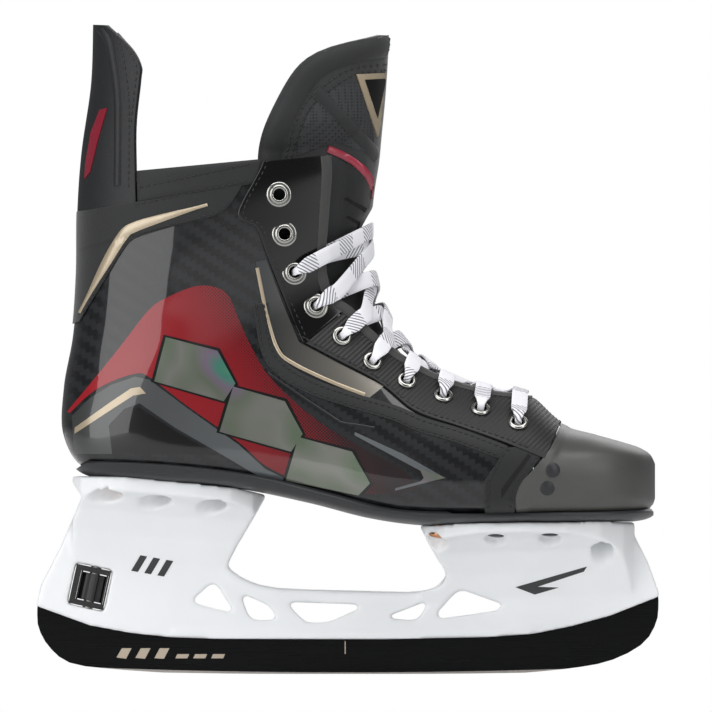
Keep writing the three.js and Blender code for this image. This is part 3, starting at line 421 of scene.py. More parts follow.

# Carbon fibre composite: 2/2 twill of 2.5 mm tows under clear resin, polished in the mould. The resin
# gives a sharp gloss; the tow squares that catch the light by turns are a painted sheen in the base
# colour.
carbon, tree, shader = new_material("carbon fibre twill in clear resin", "101114", 0.38,
                                    coat_weight=0.8, specular_ior_level=0.2)
shader.inputs["Coat Roughness"].default_value = 0.04
TOW = 2.5 * MM
spot = node(tree, "ShaderNodeTexCoord")
laid_up = node(
    tree,
    "ShaderNodeMapping",
    {"Vector": spot.outputs["Object"], "Rotation": (0, math.radians(12), 0),
     "Scale": (1 / TOW, 1 / TOW, 1 / TOW)},
)
axes = node(tree, "ShaderNodeSeparateXYZ", {0: laid_up})
column = node(tree, "ShaderNodeMath", {0: axes.outputs["X"]}, operation="FLOOR")
row = node(tree, "ShaderNodeMath", {0: axes.outputs["Z"]}, operation="FLOOR")
step = node(tree, "ShaderNodeMath", {0: column, 1: row}, operation="ADD")
turn = node(tree, "ShaderNodeMath", {0: step, 1: 4.0}, operation="FLOORED_MODULO")
over = node(tree, "ShaderNodeMath", {0: turn, 1: 1.5}, operation="LESS_THAN")
fibre = node(tree, "ShaderNodeTexNoise", {"Vector": laid_up, "Scale": 3.0, "Detail": 3.0})
# Painted sheen: the tows lying over are lighter in the base colour, with fibre noise on top.
depth = node(tree, "ShaderNodeMath", {0: over, 1: 0.8, 2: fibre}, operation="MULTIPLY_ADD")
tone = node(tree, "ShaderNodeValToRGB", {"Fac": depth})
tone.color_ramp.elements[0].position = 0.3
tone.color_ramp.elements[0].color = colour("050506")
tone.color_ramp.elements[1].position = 1.5 / 1.6
tone.color_ramp.elements[1].color = colour("15171a")
tree.links.new(tone.outputs[0], shader.inputs["Base Color"])
rough = node(tree, "ShaderNodeMapRange", {"Value": over, "To Min": 0.32, "To Max": 0.5})
tree.links.new(rough.outputs[0], shader.inputs["Roughness"])
dress(shell, "boot", "shell", carbon, "boot_shell")


# ---- Toe cap ----
# An injection-moulded cap over the toes, satin dark grey, riveted to the shell at its rear edge
# and creased along its sides.
TOE_SEAM = smooth([(104, 125), (95.5, 106), (82, 90.5), (79.5, 84), (82, 60)], 24)


@functools.cache
def toe_edge(share):
    """The section at which the cap's rear edge crosses the line at that share round the last."""
    low, high = 2.0, 8.0
    for _ in range(22):
        t = (low + high) / 2
        x, _, z = surface(t, share * around(t))
        edge = np.interp(z, [p[1] for p in TOE_SEAM[::-1]], [p[0] for p in TOE_SEAM[::-1]])
        low, high = (t, high) if x > edge else (low, t)
    return low


def cap_place(u, v):
    share = 2 * v - 1
    t = toe_edge(share) * u**0.8
    return t, share * around(t)


def cap_lift(u, v, t, length):
    """The cap's outside: a raised rear rim and a crease along the side."""
    x, _, z = surface(t, length)
    rim = 0.5 * smoothstep(0.93, 0.96, u)
    crease = 0.9 * smoothstep(86.5, 88.5, z + 0.17 * (x - 104)) * (1 - smoothstep(103, 109, z))
    return 0.9 + rim - 0.6 + 0.6 * crease


CAP_STEPS, CAP_ACROSS = 70, 150
toe_cap = skin("toe_cap_shell", cap_place, CAP_STEPS, CAP_ACROSS, cap_lift, -1.3, loop=True, edge=0.3,
               nose=True)
# Moulded polyurethane with a fine spark-eroded grain, which spreads highlights softly.
satin, tree, shader = new_material("satin moulded polyurethane", "444442", 0.42)


def two_tone(tree, shader, share, code_a, code_b):
    """Base colour that goes from one tone to another as share goes from 0 to 1."""
    tone = node(tree, "ShaderNodeMix", {0: share, 6: colour(code_a), 7: colour(code_b)},
                data_type="RGBA")
    tree.links.new(tone.outputs[2], shader.inputs["Base Color"])


def grained(tree, shader, size, strength, variation, code_a, code_b):
    """Fine moulded grain: cells of that size in metres, with a slow change of tone over 30 mm."""
    spot = node(tree, "ShaderNodeTexCoord")
    cells = node(tree, "ShaderNodeTexNoise", {"Vector": spot.outputs["Object"], "Scale": 1 / size,
                                              "Detail": 4.0})
    bump = node(tree, "ShaderNodeBump", {"Height": cells, "Strength": strength, "Distance": size / 3})
    tree.links.new(bump.outputs[0], shader.inputs["Normal"])
    patch = node(tree, "ShaderNodeTexNoise", {"Vector": spot.outputs["Object"], "Scale": 1 / 0.03,
                                              "Detail": 2.0})
    two_tone(tree, shader, patch, code_a, code_b)
    rough = node(
        tree,
        "ShaderNodeMapRange",
        {
            "Value": cells,
            "To Min": shader.inputs["Roughness"].default_value - variation,
            "To Max": shader.inputs["Roughness"].default_value + variation,
        },
    )
    tree.links.new(rough.outputs[0], shader.inputs["Roughness"])


grained(tree, shader, 0.8 * MM, 0.25, 0.06, "484846", "3e3e3c")
dress(toe_cap, "boot", "toe_cap", satin, "toe_cap")


# ---- Rear overlay ----
# Synthetic leather round the back of the ankle, over the shell and under the collar, double
# stitched along its lower edge, with a champagne foil stripe. Like all that is glued, printed or
# stitched on the boot, the stripe is cut flat from the side and pressed on.


def pressing(*pieces):
    """What a piece is pressed on to, for rays from either side."""
    points, faces = [], []
    for piece in pieces:
        mesh = piece.data
        mesh.calc_loop_triangles()
        places = np.zeros(3 * len(mesh.vertices))
        mesh.vertices.foreach_get("co", places)
        corners = np.zeros(3 * len(mesh.loop_triangles), int)
        mesh.loop_triangles.foreach_get("vertices", corners)
        faces += (corners.reshape(-1, 3) + len(points)).tolist()
        points += places.reshape(-1, 3).tolist()
    return BVHTree.FromPolygons(points, faces)


def press(base, side, x, z, lift):
    """The point in millimetres that stands lift off the base where a ray along Y meets it."""
    inwards = 0.7 if x < -40 else -0.7  # a point beyond the outline, or where it falls away, moves in
    for k in range(16):
        start = Vector(((x + k * inwards) * MM, side * 0.2, z * MM))
        hit, normal, _, _ = base.ray_cast(start, Vector((0, -side, 0)))
        if hit is not None and abs(normal.y) > 0.3:
            break
    if hit is None:
        hit, normal, _, _ = base.find_nearest(Vector((x * MM, side * 0.03, z * MM)))
    if normal.y * side < 0:
        normal = -normal
    return np.array(hit) / MM + np.array(normal) * lift


def applique(name, outline, side, base, low, high, spacing=2.2):
    """A thin flat piece with that outline in the XZ plane, pressed on."""
    edge = []
    for p, q in zip(outline, outline[1:] + outline[:1]):
        p, q = np.array(p, float), np.array(q, float)
        parts = max(1, int(np.linalg.norm(q - p) / spacing))
        edge += [p + (q - p) * k / parts for k in range(parts)]
    xs, zs = zip(*outline)
    inside = [
        np.array([x, z])
        for i, x in enumerate(np.arange(min(xs) + 0.7, max(xs), spacing))
        for z in np.arange(min(zs) + 0.5 + (i % 2) * spacing / 2, max(zs), spacing)
    ]
    flat = [Vector(tuple(p)) for p in edge + inside]
    found, _, faces, _, _, _ = delaunay_2d_cdt(flat, [], [list(range(len(edge)))], 1, 1e-4)
    upper = [press(base, side, p[0], p[1], high) * MM for p in found]
    lower = [press(base, side, p[0], p[1], low) * MM for p in found]
    count = len(found)
    rims = {}
    for face in faces:
        for a, b in zip(face, [*face[1:], face[0]]):
            rims[(a, b)] = rims.get((a, b), 0) + 1
    walls = [(a, b, b + count, a + count) for a, b in rims if (b, a) not in rims]
    shapes = [tuple(f) for f in faces] + [tuple(k + count for k in reversed(f)) for f in faces]
    made = mesh_object(name, upper + lower, shapes + [tuple(reversed(w)) for w in walls])
    recalculate(made)
    made.data.shade_smooth()
    bpy.ops.object.shade_smooth_by_angle(angle=0.7)
    return made


def resampled(path, pitch):
    """Points every pitch millimetres along a line of points, with the direction at each."""
    path = [np.array(p, float) for p in path]
    lengths = np.concatenate([[0], np.cumsum([np.linalg.norm(b - a) for a, b in zip(path, path[1:])])])
    count = max(2, int(lengths[-1] / pitch))
    marks = np.linspace(0, lengths[-1], count)
    stack = np.array(path)
    points = np.stack([np.interp(marks, lengths, stack[:, k]) for k in range(stack.shape[1])], axis=1)
    ways = np.gradient(points, axis=0)
    return points, ways / np.linalg.norm(ways, axis=1)[:, None]


SUNK = 0.2  # how far a strip's back lies in what it is pressed on


def strip(name, path, width, side, base, lift, crown, taper=None):
    """A raised strip along a line in the XZ plane, pressed on, crowned across its width."""
    points, ways = resampled(path, 1.6)
    across = 8
    grids = []
    for high in (True, False):
        grid = np.zeros((len(points), across + 1, 3))
        for i, (p, w) in enumerate(zip(points, ways)):
            wide = width * (taper(i / (len(points) - 1)) if taper else 1)
            for j in range(across + 1):
                v = j / across - 0.5
                x, z = p + np.array([-w[1], w[0]]) * v * wide
                rise = lift + crown * math.cos(math.pi * v) ** 0.6 if high else -SUNK
                grid[i, j] = press(base, side, x, z, rise)
        grids.append(grid)
    return layered(name, grids[0], grids[1], edge=0)


STITCH = 0.62  # thickness of the thread
bpy.ops.object.select_all(action="DESELECT")
bpy.ops.mesh.primitive_uv_sphere_add(segments=8, ring_count=5, radius=0.5)
bead = bpy.context.object
bead_points = np.array([v.co[:] for v in bead.data.vertices])
bead_faces = [tuple(p.vertices) for p in bead.data.polygons]
bpy.data.objects.remove(bead)


def stitches(name, path, side, base, lift=0.15, pitch=2.9):
    """A row of stitches along a line in the XZ plane: each shows as one bead of thread."""
    points, _ = resampled(path, pitch)
    laid = np.array([press(base, side, x, z, lift) for x, z in points])
    out = np.array([press(base, side, x, z, lift + 1) for x, z in points]) - laid
    ways = np.gradient(laid, axis=0)
    verts, faces = [], []
    for p, w, n in zip(laid, ways, out):
        w = w / np.linalg.norm(w)
        n = n - w * np.dot(n, w)
        n = n / max(np.linalg.norm(n), 1e-6)
        turn = np.stack([w * pitch * 0.72, np.cross(n, w) * STITCH, n * STITCH], axis=0)
        first = len(verts)
        verts += list((bead_points @ turn + p) * MM)
        faces += [tuple(first + k for k in f) for f in bead_faces]
    made = mesh_object(name, verts, faces)
    made.data.shade_smooth()
    return made


# Waxed thread, close in tone to the leather, so a row shows as small dashes.
thread, _, _ = new_material("bonded polyester thread", "1a1a1a", 0.6)

OVERLAY_EDGE = smooth(
    [(-131, 158), (-126.8, 168.2), (-115.6, 187.1), (-106.4, 202), (-101, 207), (-86.9, 211.5),
     (-66, 217), (-57, 222), (-48, 236)],
    40,
)


# The sections of the last, counted from the toe, that the piece runs between.
OVERLAY_SECTIONS = (16.2, 17.99)


def overlay_place(u, v):
    t = mix(*OVERLAY_SECTIONS, u)
    return t, (2 * v - 1) * max(round_on(t, OVERLAY_EDGE), 0.5)


overlay = skin("rear_overlay", overlay_place, 60, 100, 1.0, 0.1)
# Embossed synthetic leather: a fine pebble grain, dull, with a faint sheen at the edges.
microfibre, tree, shader = new_material("matt synthetic leather", "1c1d1e", 0.62,
                                        specular_ior_level=0.25, sheen_weight=0.25)
grained(tree, shader, 0.9 * MM, 0.35, 0.05, "212223", "191a1b")
dress(overlay, "boot", "synthetic_leather", microfibre)
boot_base = pressing(shell, overlay)
# Metallised film that is brushed, so its champagne tone varies slowly.
foil, tree, shader = new_material("champagne foil under clear film", "a8997f", 0.32, 0.35,
                                  coat_weight=0.6)
spot = node(tree, "ShaderNodeTexCoord")
brushed = node(tree, "ShaderNodeTexNoise", {"Vector": spot.outputs["Object"], "Scale": 60.0,
                                            "Detail": 2.0})
two_tone(tree, shader, brushed, "998a72", "b3a58e")
STRIPE = smooth([(-126.2, 167), (-115, 188), (-105.6, 203.5), (-100.5, 207.4), (-87.6, 211.8),
                 (-65.3, 218.3)], 50)
BORDER_IN = [p + np.array([-0.5, 1.0]) for p in OVERLAY_EDGE[6:36]]
for name, side in SIDES:
    stripe = strip(
        f"ankle_stripe_{name}",
        [p + np.array([-1.4, 4.6]) for p in STRIPE],
        4.8,
        side,
        boot_base,
        0.1,
        0.5,
        taper=lambda s: 0.25 + 0.75 * smoothstep(0, 0.42, s) * (1 - smoothstep(0.55, 1, s) * 0.9),
    )
    dress(stripe, "boot", "synthetic_leather", foil)
    seam = stitches(f"overlay_stitches_{name}", BORDER_IN, side, boot_base)
    dress(seam, "boot", "synthetic_leather", thread)

# ---- Printed film on the quarters ----
# Screen-printed film sealed under the shell's clear resin, the same on both sides: a red band
# that breaks up into dots at its front edge, grey and champagne chevrons, and three plain bars.
RED_BAND = smooth(
    [(-133.5, 124.5), (-120.6, 140), (-107.8, 156), (-94.5, 173), (-85.5, 179), (-73.1, 184),
     (-64.1, 184), (-57, 180), (-51.8, 168.2), (-46.1, 155.8), (-38, 142), (-24, 128),
     (-9.5, 117), (6, 108), (26, 97), (34, 88)],
    60,
) + smooth(
    [(24, 85.5), (-1.4, 86), (-22.8, 91.5), (-39.4, 99), (-51.8, 110), (-76, 127), (-94.5, 141.1),
     (-101.2, 142.5), (-112.6, 138.7), (-122.5, 133), (-132, 124)],
    40,
)
# Red ink in rows of dots, drawn at 1.1 mm so that they show, gives a fade to black in front.
red, tree, shader = new_material("red screen print under clear resin", "8c0e19", 0.35, coat_weight=0.8,
                                 specular_ior_level=0.2)
shader.inputs["Coat Roughness"].default_value = 0.04
spot = node(tree, "ShaderNodeTexCoord")
axes = node(tree, "ShaderNodeSeparateXYZ", {0: spot.outputs["Object"]})
slant = node(tree, "ShaderNodeMath", {0: axes.outputs["Z"], 1: 0.62, 2: axes.outputs["X"]},
             operation="MULTIPLY_ADD")
fade = node(tree, "ShaderNodeMapRange", {"Value": slant, "From Min": 0.028, "From Max": 0.085})
DOT = 1.1 * MM
cells = node(
    tree,
    "ShaderNodeMapping",
    {"Vector": spot.outputs["Object"], "Rotation": (0, math.radians(45), 0),
     "Scale": (1 / DOT, 0, 1 / DOT)},
)
dots = node(tree, "ShaderNodeTexVoronoi", {"Vector": cells, "Scale": 1.0, "Randomness": 0.0})
ink = node(tree, "ShaderNodeMath", {0: fade, 1: 0.78}, operation="MULTIPLY")
gap = node(tree, "ShaderNodeMath", {0: ink, 1: dots.outputs["Distance"]}, operation="GREATER_THAN")
shades = node(tree, "ShaderNodeMapRange", {"Value": axes.outputs["X"], "From Min": -0.13,
                                           "From Max": 0.0})
deep = node(tree, "ShaderNodeMix", {0: shades, 6: colour("8c0e19"), 7: colour("560810")},
            data_type="RGBA")
print_tone = node(tree, "ShaderNodeMix", {0: gap, 6: deep.outputs[2], 7: colour("17090c")},
                  data_type="RGBA")
tree.links.new(print_tone.outputs[2], shader.inputs["Base Color"])


def graded(tree, shader, back, front, code_a, code_b):
    """Base colour that goes from one tone to another between two places along the skate."""
    spot = node(tree, "ShaderNodeTexCoord")
    axes = node(tree, "ShaderNodeSeparateXYZ", {0: spot.outputs["Object"]})
    run = node(tree, "ShaderNodeMapRange", {"Value": axes.outputs["X"], "From Min": back,
                                            "From Max": front})
    two_tone(tree, shader, run, code_a, code_b)


# Dark metallised film under the resin, a little lighter towards the toe.
grey_film, tree, shader = new_material("graphite foil under clear resin", "45484a", 0.35, 0.3,
                                       coat_weight=0.8, specular_ior_level=0.2)
graded(tree, shader, -0.125, -0.03, "3c3d3d", "565a5c")

# Plain black film, which shows only as a sharp reflection.
black_film, _, _ = new_material("black gloss film", "050506", 0.3, coat_weight=0.8,
                                specular_ior_level=0.2)

# Embossed foil that splits light: mostly grey-green, with violet and green patches.
rainbow, tree, shader = new_material("holographic foil under clear resin", "7a7f78", 0.3, 0.5,
                                     coat_weight=1.0)
spot = node(tree, "ShaderNodeTexCoord")
bands = node(tree, "ShaderNodeTexNoise", {"Vector": spot.outputs["Object"], "Scale": 26.0,
                                          "Detail": 1.0})
spread = node(tree, "ShaderNodeValToRGB", {"Fac": bands})
for place, code in ((0.36, "566351"), (0.46, "70716b"), (0.56, "5d6556"), (0.66, "6e6172"),
                    (0.74, "3c7d6b")):
    stop = spread.color_ramp.elements.new(place)
    stop.color = colour(code)
spread.color_ramp.elements[0].color = colour("4a545f")
spread.color_ramp.elements[-1].color = colour("8aa030")
tree.links.new(spread.outputs[0], shader.inputs["Base Color"])


def unit(rows):
    return rows / np.linalg.norm(rows, axis=1)[:, None]


def grown(outline, by):
    """A convex outline moved outwards by that many millimetres."""
    corners = np.array(outline)
    return [tuple(p) for p in corners + unit(corners - corners.mean(axis=0)) * by]


BARS = [
    [(-92, 139), (-86.5, 160), (-62, 153.5), (-53.5, 138), (-59, 129.5)],
    [(-61, 115), (-54.5, 136.5), (-30, 129.5), (-21.5, 114), (-27, 105.5)],
    [(-29.5, 92), (-23.5, 112.5), (2, 105.5), (10.5, 90.5), (5, 85)],
]
GOLD_CHEVRON = [(-129.6, 117), (-112.6, 129.2), (-103.1, 135.6), (-98.8, 136.3), (-96, 133.2),
                (-102, 132.2), (-111.6, 126), (-129.8, 114)]
GREY_CHEVRON = [(-131, 122.6), (-122.5, 131), (-112.6, 137.2), (-101.2, 141.2), (-94.5, 139.8),
                (-76, 126), (-51.8, 108.8), (-39.4, 97.5), (-24, 90), (-26, 88), (-40, 92.5),
                (-57.9, 103), (-82.2, 117), (-99, 128.5), (-106, 126), (-113.5, 118),
                (-112, 104.5), (-130, 104.5)]
WINDOW = [(-111.6, 105.4), (-113, 117.6), (-106.4, 125.4), (-99.5, 126.8), (-82.2, 115.6), (-62.5, 104)]
V_LINE = [(3.3, 114.9), (26, 104.5), (46.1, 93.1), (22.3, 87.0), (22.6, 88.2), (40.5, 93.2), (3, 113.4)]
V_TIP = [(34, 97.6), (46.4, 93.1), (33, 90.2), (36, 93)]
for name, side in SIDES:
    for part, outline, low, high, finish in [
        ("red_band", [tuple(p) for p in RED_BAND], -0.2, 0.10, red),
        ("grey_chevron", GREY_CHEVRON, -0.2, 0.18, grey_film),
        ("black_window", WINDOW, -0.1, 0.26, black_film),
        ("gold_chevron", GOLD_CHEVRON, -0.1, 0.28, foil),
        ("v_line", V_LINE, -0.1, 0.16, grey_film),
        ("v_tip", V_TIP, -0.1, 0.24, rainbow),
    ]:
        dress(applique(f"{part}_{name}", outline, side, boot_base, low, high), "boot", "shell", finish)
    for k, bar in enumerate(BARS):
        rim = applique(f"bar_{k + 1}_outline_{name}", grown(bar, 1.6), side, boot_base, -0.2, 0.22)
        dress(rim, "boot", "shell", black_film)
        face = applique(f"bar_{k + 1}_{name}", bar, side, boot_base, -0.1, 0.34)
        dress(face, "boot", "shell", rainbow)

# ---- Outsole ----
# A stiff composite sole plate with a shallow rim, glued under the shell from toe to heel.
SOLE_LINE = smooth(
    [(160, 83), (137, 79), (100, 78), (58, 77.4), (22, 79), (-10, 87), (-45, 95), (-90, 100),
     (-145, 102)], 40
)


SOLE_SECTIONS = (0.9, 13.2)


def sole_place(u, v):
    t = mix(*SOLE_SECTIONS, u)
    return t, (2 * v - 1) * max(round_on(t, SOLE_LINE), 1)


def sole_low(u, v, t, length):
    return 1.3 if t < 7.4 else 0.4


outsole = skin("outsole_tray", sole_place, 150, 60, 3.0, sole_low, edge=0.8)
# Pressed glass-fibre composite with a satin skin.
sole_plastic, tree, shader = new_material("satin composite sole", "28292b", 0.4,
                                          specular_ior_level=0.35)
grained(tree, shader, 0.7 * MM, 0.2, 0.05, "2c2d2f", "232426")
dress(outsole, "boot", "outsole", sole_plastic, "outsole")

# ---- Footbed ----
# A moulded foam insole with a felt top, which lies loose in the boot.

# Needled felt, with no highlight and a soft edge.
felt, tree, shader = new_material("felt over moulded foam", "2c2c2f", 0.95, sheen_weight=0.4)
grained(tree, shader, 0.5 * MM, 0.6, 0.03, "303033", "27272a")
coat(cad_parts["footbed"], felt)

# ---- Blade holder ----
# One moulding in white glass-filled nylon: two towers joined by an open truss, with a raised lip
# along the steel and a rim over the arch. All its edges are radiused in the mould.
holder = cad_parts["holder"].copy()
holder.data = holder.data.copy()
holder.parent = None
for key in list(holder.keys()):  # the CAD node's own marks
    del holder[key]
bpy.context.scene.collection.objects.link(holder)
only(holder)
bpy.ops.object.mode_set(mode="EDIT")
bpy.ops.mesh.select_all(action="SELECT")
bpy.ops.mesh.remove_doubles(threshold=1e-6)
bpy.ops.object.mode_set(mode="OBJECT")
LOWER_EDGE = [(-148.2, 32.3), (-122.6, 23), (-102.6, 19.3), (-82.7, 17.3), (-60.8, 16.6),
              (15.2, 16.4), (65.1, 17.4), (87.9, 19), (105.9, 22.6), (124.5, 27.6), (148.3, 37)]
ARCH_EDGE = [(-64, 60), (-56.9, 50.6), (-51.3, 46.2), (-42.5, 42.5), (-33.3, 40.9), (-20, 40.2),
             (28, 39), (36, 39.6), (42.3, 41.3), (46.6, 46.5)]


def moulded_rib(name, path, high, deep, outside):
    """A rib along a line in the XZ plane, running back from it by high and standing out of the web."""
    points, ways = resampled(path, 4)
    grids = []
    for side in (-1, 1):
        grid = np.zeros((len(points), 2, 3))
        for i, (p, w) in enumerate(zip(points, ways)):
            inward = np.array([-w[1], w[0]]) * high * outside
            grid[i, 0] = (p[0], side * deep, p[1])
            grid[i, 1] = (p[0] + inward[0], side * deep, p[1] + inward[1])
        grids.append(grid)
    return layered(name, grids[0], grids[1], edge=0)


LOCK_LEAN = math.radians(12.3)
LOCK_CENTRE = np.array([-122.6, 41.3])


def leant(made):
    """Turns a piece from the lock's own frame, u forwards and v up the screw, into its place."""
    made.data.transform(Matrix.Rotation(LOCK_LEAN, 4, "Y"))
    made.data.transform(Matrix.Translation(Vector((LOCK_CENTRE[0], 0, LOCK_CENTRE[1])) * MM))
    return made


def lock_box(u0, u1, y0, y1, v0, v1):
    """A box in the lock's own frame."""
    bpy.ops.object.select_all(action="DESELECT")
    bpy.ops.mesh.primitive_cube_add(size=1)
    made = bpy.context.object
    made.data.transform(Matrix.Diagonal(((u1 - u0) * MM, (y1 - y0) * MM, (v1 - v0) * MM, 1)))
    made.data.transform(Matrix.Translation(Vector(((u0 + u1) / 2, (y0 + y1) / 2, (v0 + v1) / 2)) * MM))
    return leant(made)


# The lips stand beside the slot for the steel, which is 0.25 mm wider than it on each side.
SLOT_HALF, LIP_HEIGHT, LIP_HALF = 1.75, 4.4, 6.3
lips = []
for side in (-1, 1):
    points, ways = resampled([p for p in LOWER_EDGE if -90 < p[0] < 95], 4)
    near = np.array(
        [[(p[0], side * SLOT_HALF, p[1]), (p[0], side * SLOT_HALF, p[1] + LIP_HEIGHT)] for p in points]
    )
    far = np.array(
        [[(p[0], side * LIP_HALF, p[1]), (p[0], side * LIP_HALF, p[1] + LIP_HEIGHT)] for p in points]
    )
    lips.append(layered("lip", far, near, edge=0))
rim = moulded_rib("rim", ARCH_EDGE, 3.6, 6.2, -1)
holder = joined("blade_holder", [holder, rim, *lips])
VOXEL = 1.05 * MM
apply_modifier(holder, "REMESH", mode="VOXEL", voxel_size=VOXEL)
SMOOTH_PASSES, FACES_KEPT = 7, 0.55
apply_modifier(holder, "SMOOTH", factor=0.5, iterations=SMOOTH_PASSES)
apply_modifier(holder, "DECIMATE", ratio=FACES_KEPT)
# The screw's bore and the slot that its head comes down in keep the sizes they are machined to.
SCREW_ROOM, SCREW_BORE, HEAD_ROOM = 2.85, 8.3, 1.74
bpy.ops.object.select_all(action="DESELECT")
bpy.ops.mesh.primitive_cylinder_add(vertices=32, radius=SCREW_ROOM * MM, depth=SCREW_BORE * MM)
bore = bpy.context.object
bore.data.transform(Matrix.Translation(Vector((1, 0, -12.6)) * MM))
leant(bore)
head_slot = lock_box(-3.5, 5.5, -HEAD_ROOM, HEAD_ROOM, -21.6, -9)
for cutter in (bore, head_slot):
    apply_modifier(holder, "BOOLEAN", object=cutter, operation="DIFFERENCE", solver="EXACT")
    bpy.data.objects.remove(cutter)
holder.data.shade_smooth()
# White nylon lets a little light in, so its shadows stay light; its skin is smooth.
nylon, tree, shader = new_material("white glass-filled nylon", "e3e5e7", 0.36, subsurface_weight=0.08)
shader.inputs["Subsurface Radius"].default_value = (0.004, 0.004, 0.004)
grained(tree, shader, 1.2 * MM, 0.06, 0.05, "e6e8ea", "dddfe1")
dress(holder, "boot", "holder", nylon, "holder")
holder_base = pressing(holder)
# Thin dull ink.
dark_print, _, _ = new_material("pad-printed ink", "2b2d2e", 0.45)
for name, side in SIDES:
    for k in range(3):
        x = -103 + 6.2 * k
        mark = [(x, 49 - 1.1 * k), (x + 4.4, 56.4 - 1.1 * k), (x + 7.6, 55.8 - 1.1 * k),
                (x + 3.2, 48.4 - 1.1 * k)]
        piece = applique(f"tower_mark_{k + 1}_{name}", mark, side, holder_base, -0.2, 0.12)
        dress(piece, "boot", "holder", dark_print)
    wedge = [(79.5, 41.2), (88.7, 37.7), (100, 41), (90, 41.4), (112, 48.6), (113.5, 51)]
    dress(applique(f"toe_mark_{name}", wedge, side, holder_base, -0.2, 0.12), "boot", "holder",
          dark_print)

# ---- Runner ----
# 3 mm stainless steel, black coated, ground bright on the narrow edge that meets the ice.

# Polished, then vapour coated: nearly black, with fine lengthwise lines. Grinding bares the edge.
steel, tree, shader = new_material("black-coated stainless steel", "0c0d0e", 0.28, 0.75)
spot = node(tree, "ShaderNodeTexCoord")
axes = node(tree, "ShaderNodeSeparateXYZ", {0: spot.outputs["Object"]})
LINE = 0.7 * MM
drawn = node(
    tree, "ShaderNodeMapping", {"Vector": spot.outputs["Object"], "Scale": (30, 1 / LINE, 1 / LINE)}
)
lines = node(tree, "ShaderNodeTexNoise", {"Vector": drawn, "Scale": 1.0, "Detail": 3.0})
polish = node(tree, "ShaderNodeMapRange", {"Value": lines, "To Min": 0.2, "To Max": 0.38})
tree.links.new(polish.outputs[0], shader.inputs["Roughness"])
low = node(tree, "ShaderNodeMath", {0: axes.outputs["X"], 1: axes.outputs["X"]}, operation="MULTIPLY")
rock = node(tree, "ShaderNodeMath", {0: low, 1: -0.16, 2: axes.outputs["Z"]}, operation="MULTIPLY_ADD")
ground = node(tree, "ShaderNodeMath", {0: rock, 1: 0.7 * MM}, operation="LESS_THAN")
two_tone(tree, shader, ground, "101112", "b9b3ae")
coat(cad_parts["runner"], steel)
runner_base = pressing(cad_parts["runner"])
# The laser burns the coating off and leaves a matt warm grey.
etched, _, _ = new_material("laser-etched steel", "b7aa98", 0.4, 0.4)
for name, side in SIDES:
    marks = [[(x, 7.2 + 0.02 * (-80 - x)), (x + 2.6, 12.2), (x + 7.2, 12.2),
              (x + 4.6, 7.2)] for x in (-110, -101, -92)]
    marks += [[(x, 7.4), (x + 0.9, 9.4), (x + 6.6, 9.4), (x + 5.7, 7.4)] for x in (-82, -73.5, -65)]
    marks += [[(-1.6, 9.5), (-1.6, 15.6), (-1.1, 15.6), (-1.1, 9.5)]]
    for k, mark in enumerate(marks):
        piece = applique(f"steel_mark_{k + 1}_{name}", mark, side, runner_base, -0.1, 0.06)
        dress(piece, "runner", "runner_steel", etched)

# ---- Blade lock ----
# A ribbed thumb wheel in a clip-in housing, both black acetal; its screw is zinc-plated steel.

# Moulded acetal: black with a fine matt grain.
acetal, tree, shader = new_material("black moulded acetal", "1c1c1d", 0.42)
grained(tree, shader, 0.6 * MM, 0.2, 0.06, "202021", "171718")
# Bright zinc over turned steel.
bright, tree, shader = new_material("zinc-plated steel", "a9a7a2", 0.32, 1.0)
grained(tree, shader, 0.5 * MM, 0.08, 0.08, "b3b1ab", "9a9893")
for name in ("lock_housing", "lock_wheel"):
    coat(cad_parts[name], acetal)
cheeks = []
for y in (-3.8, 2.9):
    cheeks += [lock_box(6.7, 7.5, y, y + 0.9, -7.2, 7.2), lock_box(-5.5, -4.7, y, y + 0.9, -7.2, 7.2)]
cheeks = joined("lock_cheeks", cheeks)
dress(cheeks, "boot", "lock_plastic", acetal)
for name in ("lock_screw", "runner_pin"):
    coat(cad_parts[name], bright)

# ---- Rivets ----
# Steel rivets through flange, sole and shell, with domed heads; the two by the arch are copper.


def axis_of(name, way):
    """The top of a turned CAD node, in millimetres, and its axis, pointing along way."""
    points = np.unique(np.round([v.co[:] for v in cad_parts[name].data.vertices], 6), axis=0) / MM
    centre = points.mean(axis=0)
    spread, vectors = np.linalg.eigh(np.cov((points - centre).T))
    odd = 2 if spread[2] - spread[1] > spread[1] - spread[0] else 0
    axis = vectors[:, odd]
    axis = axis * np.sign(np.dot(axis, way))
    return centre + axis * np.max((points - centre) @ axis), axis


def turned(name, profile, facets):
    """A turned piece about +Z from a closed profile of [radius, height] points in millimetres."""
    count = len(profile)
    mesh = bpy.data.meshes.new(name)
    points = [(r * MM, 0, h * MM) for r, h in profile]
    mesh.from_pydata(points, [(k, (k + 1) % count) for k in range(count)], [])
    made = bpy.data.objects.new(name, mesh)
    bpy.context.scene.collection.objects.link(made)
    only(made)
    bpy.ops.object.mode_set(mode="EDIT")
    bpy.ops.mesh.select_all(action="SELECT")
    bpy.ops.mesh.spin(steps=facets, angle=2 * math.pi, center=(0, 0, 0), axis=(0, 0, 1))
    bpy.ops.mesh.select_all(action="SELECT")
    bpy.ops.mesh.remove_doubles(threshold=1e-6)
    bpy.ops.mesh.normals_make_consistent(inside=False)
    bpy.ops.object.mode_set(mode="OBJECT")
    made.data.shade_smooth()
    bpy.ops.object.shade_smooth_by_angle(angle=0.8)
    return made


def pose(top, axis):
    """Puts +Z along an axis and the origin at a point in millimetres."""
    turn = Vector((0, 0, 1)).rotation_difference(Vector(axis)).to_matrix().to_4x4()
    return Matrix.Translation(Vector(top) * MM) @ turn


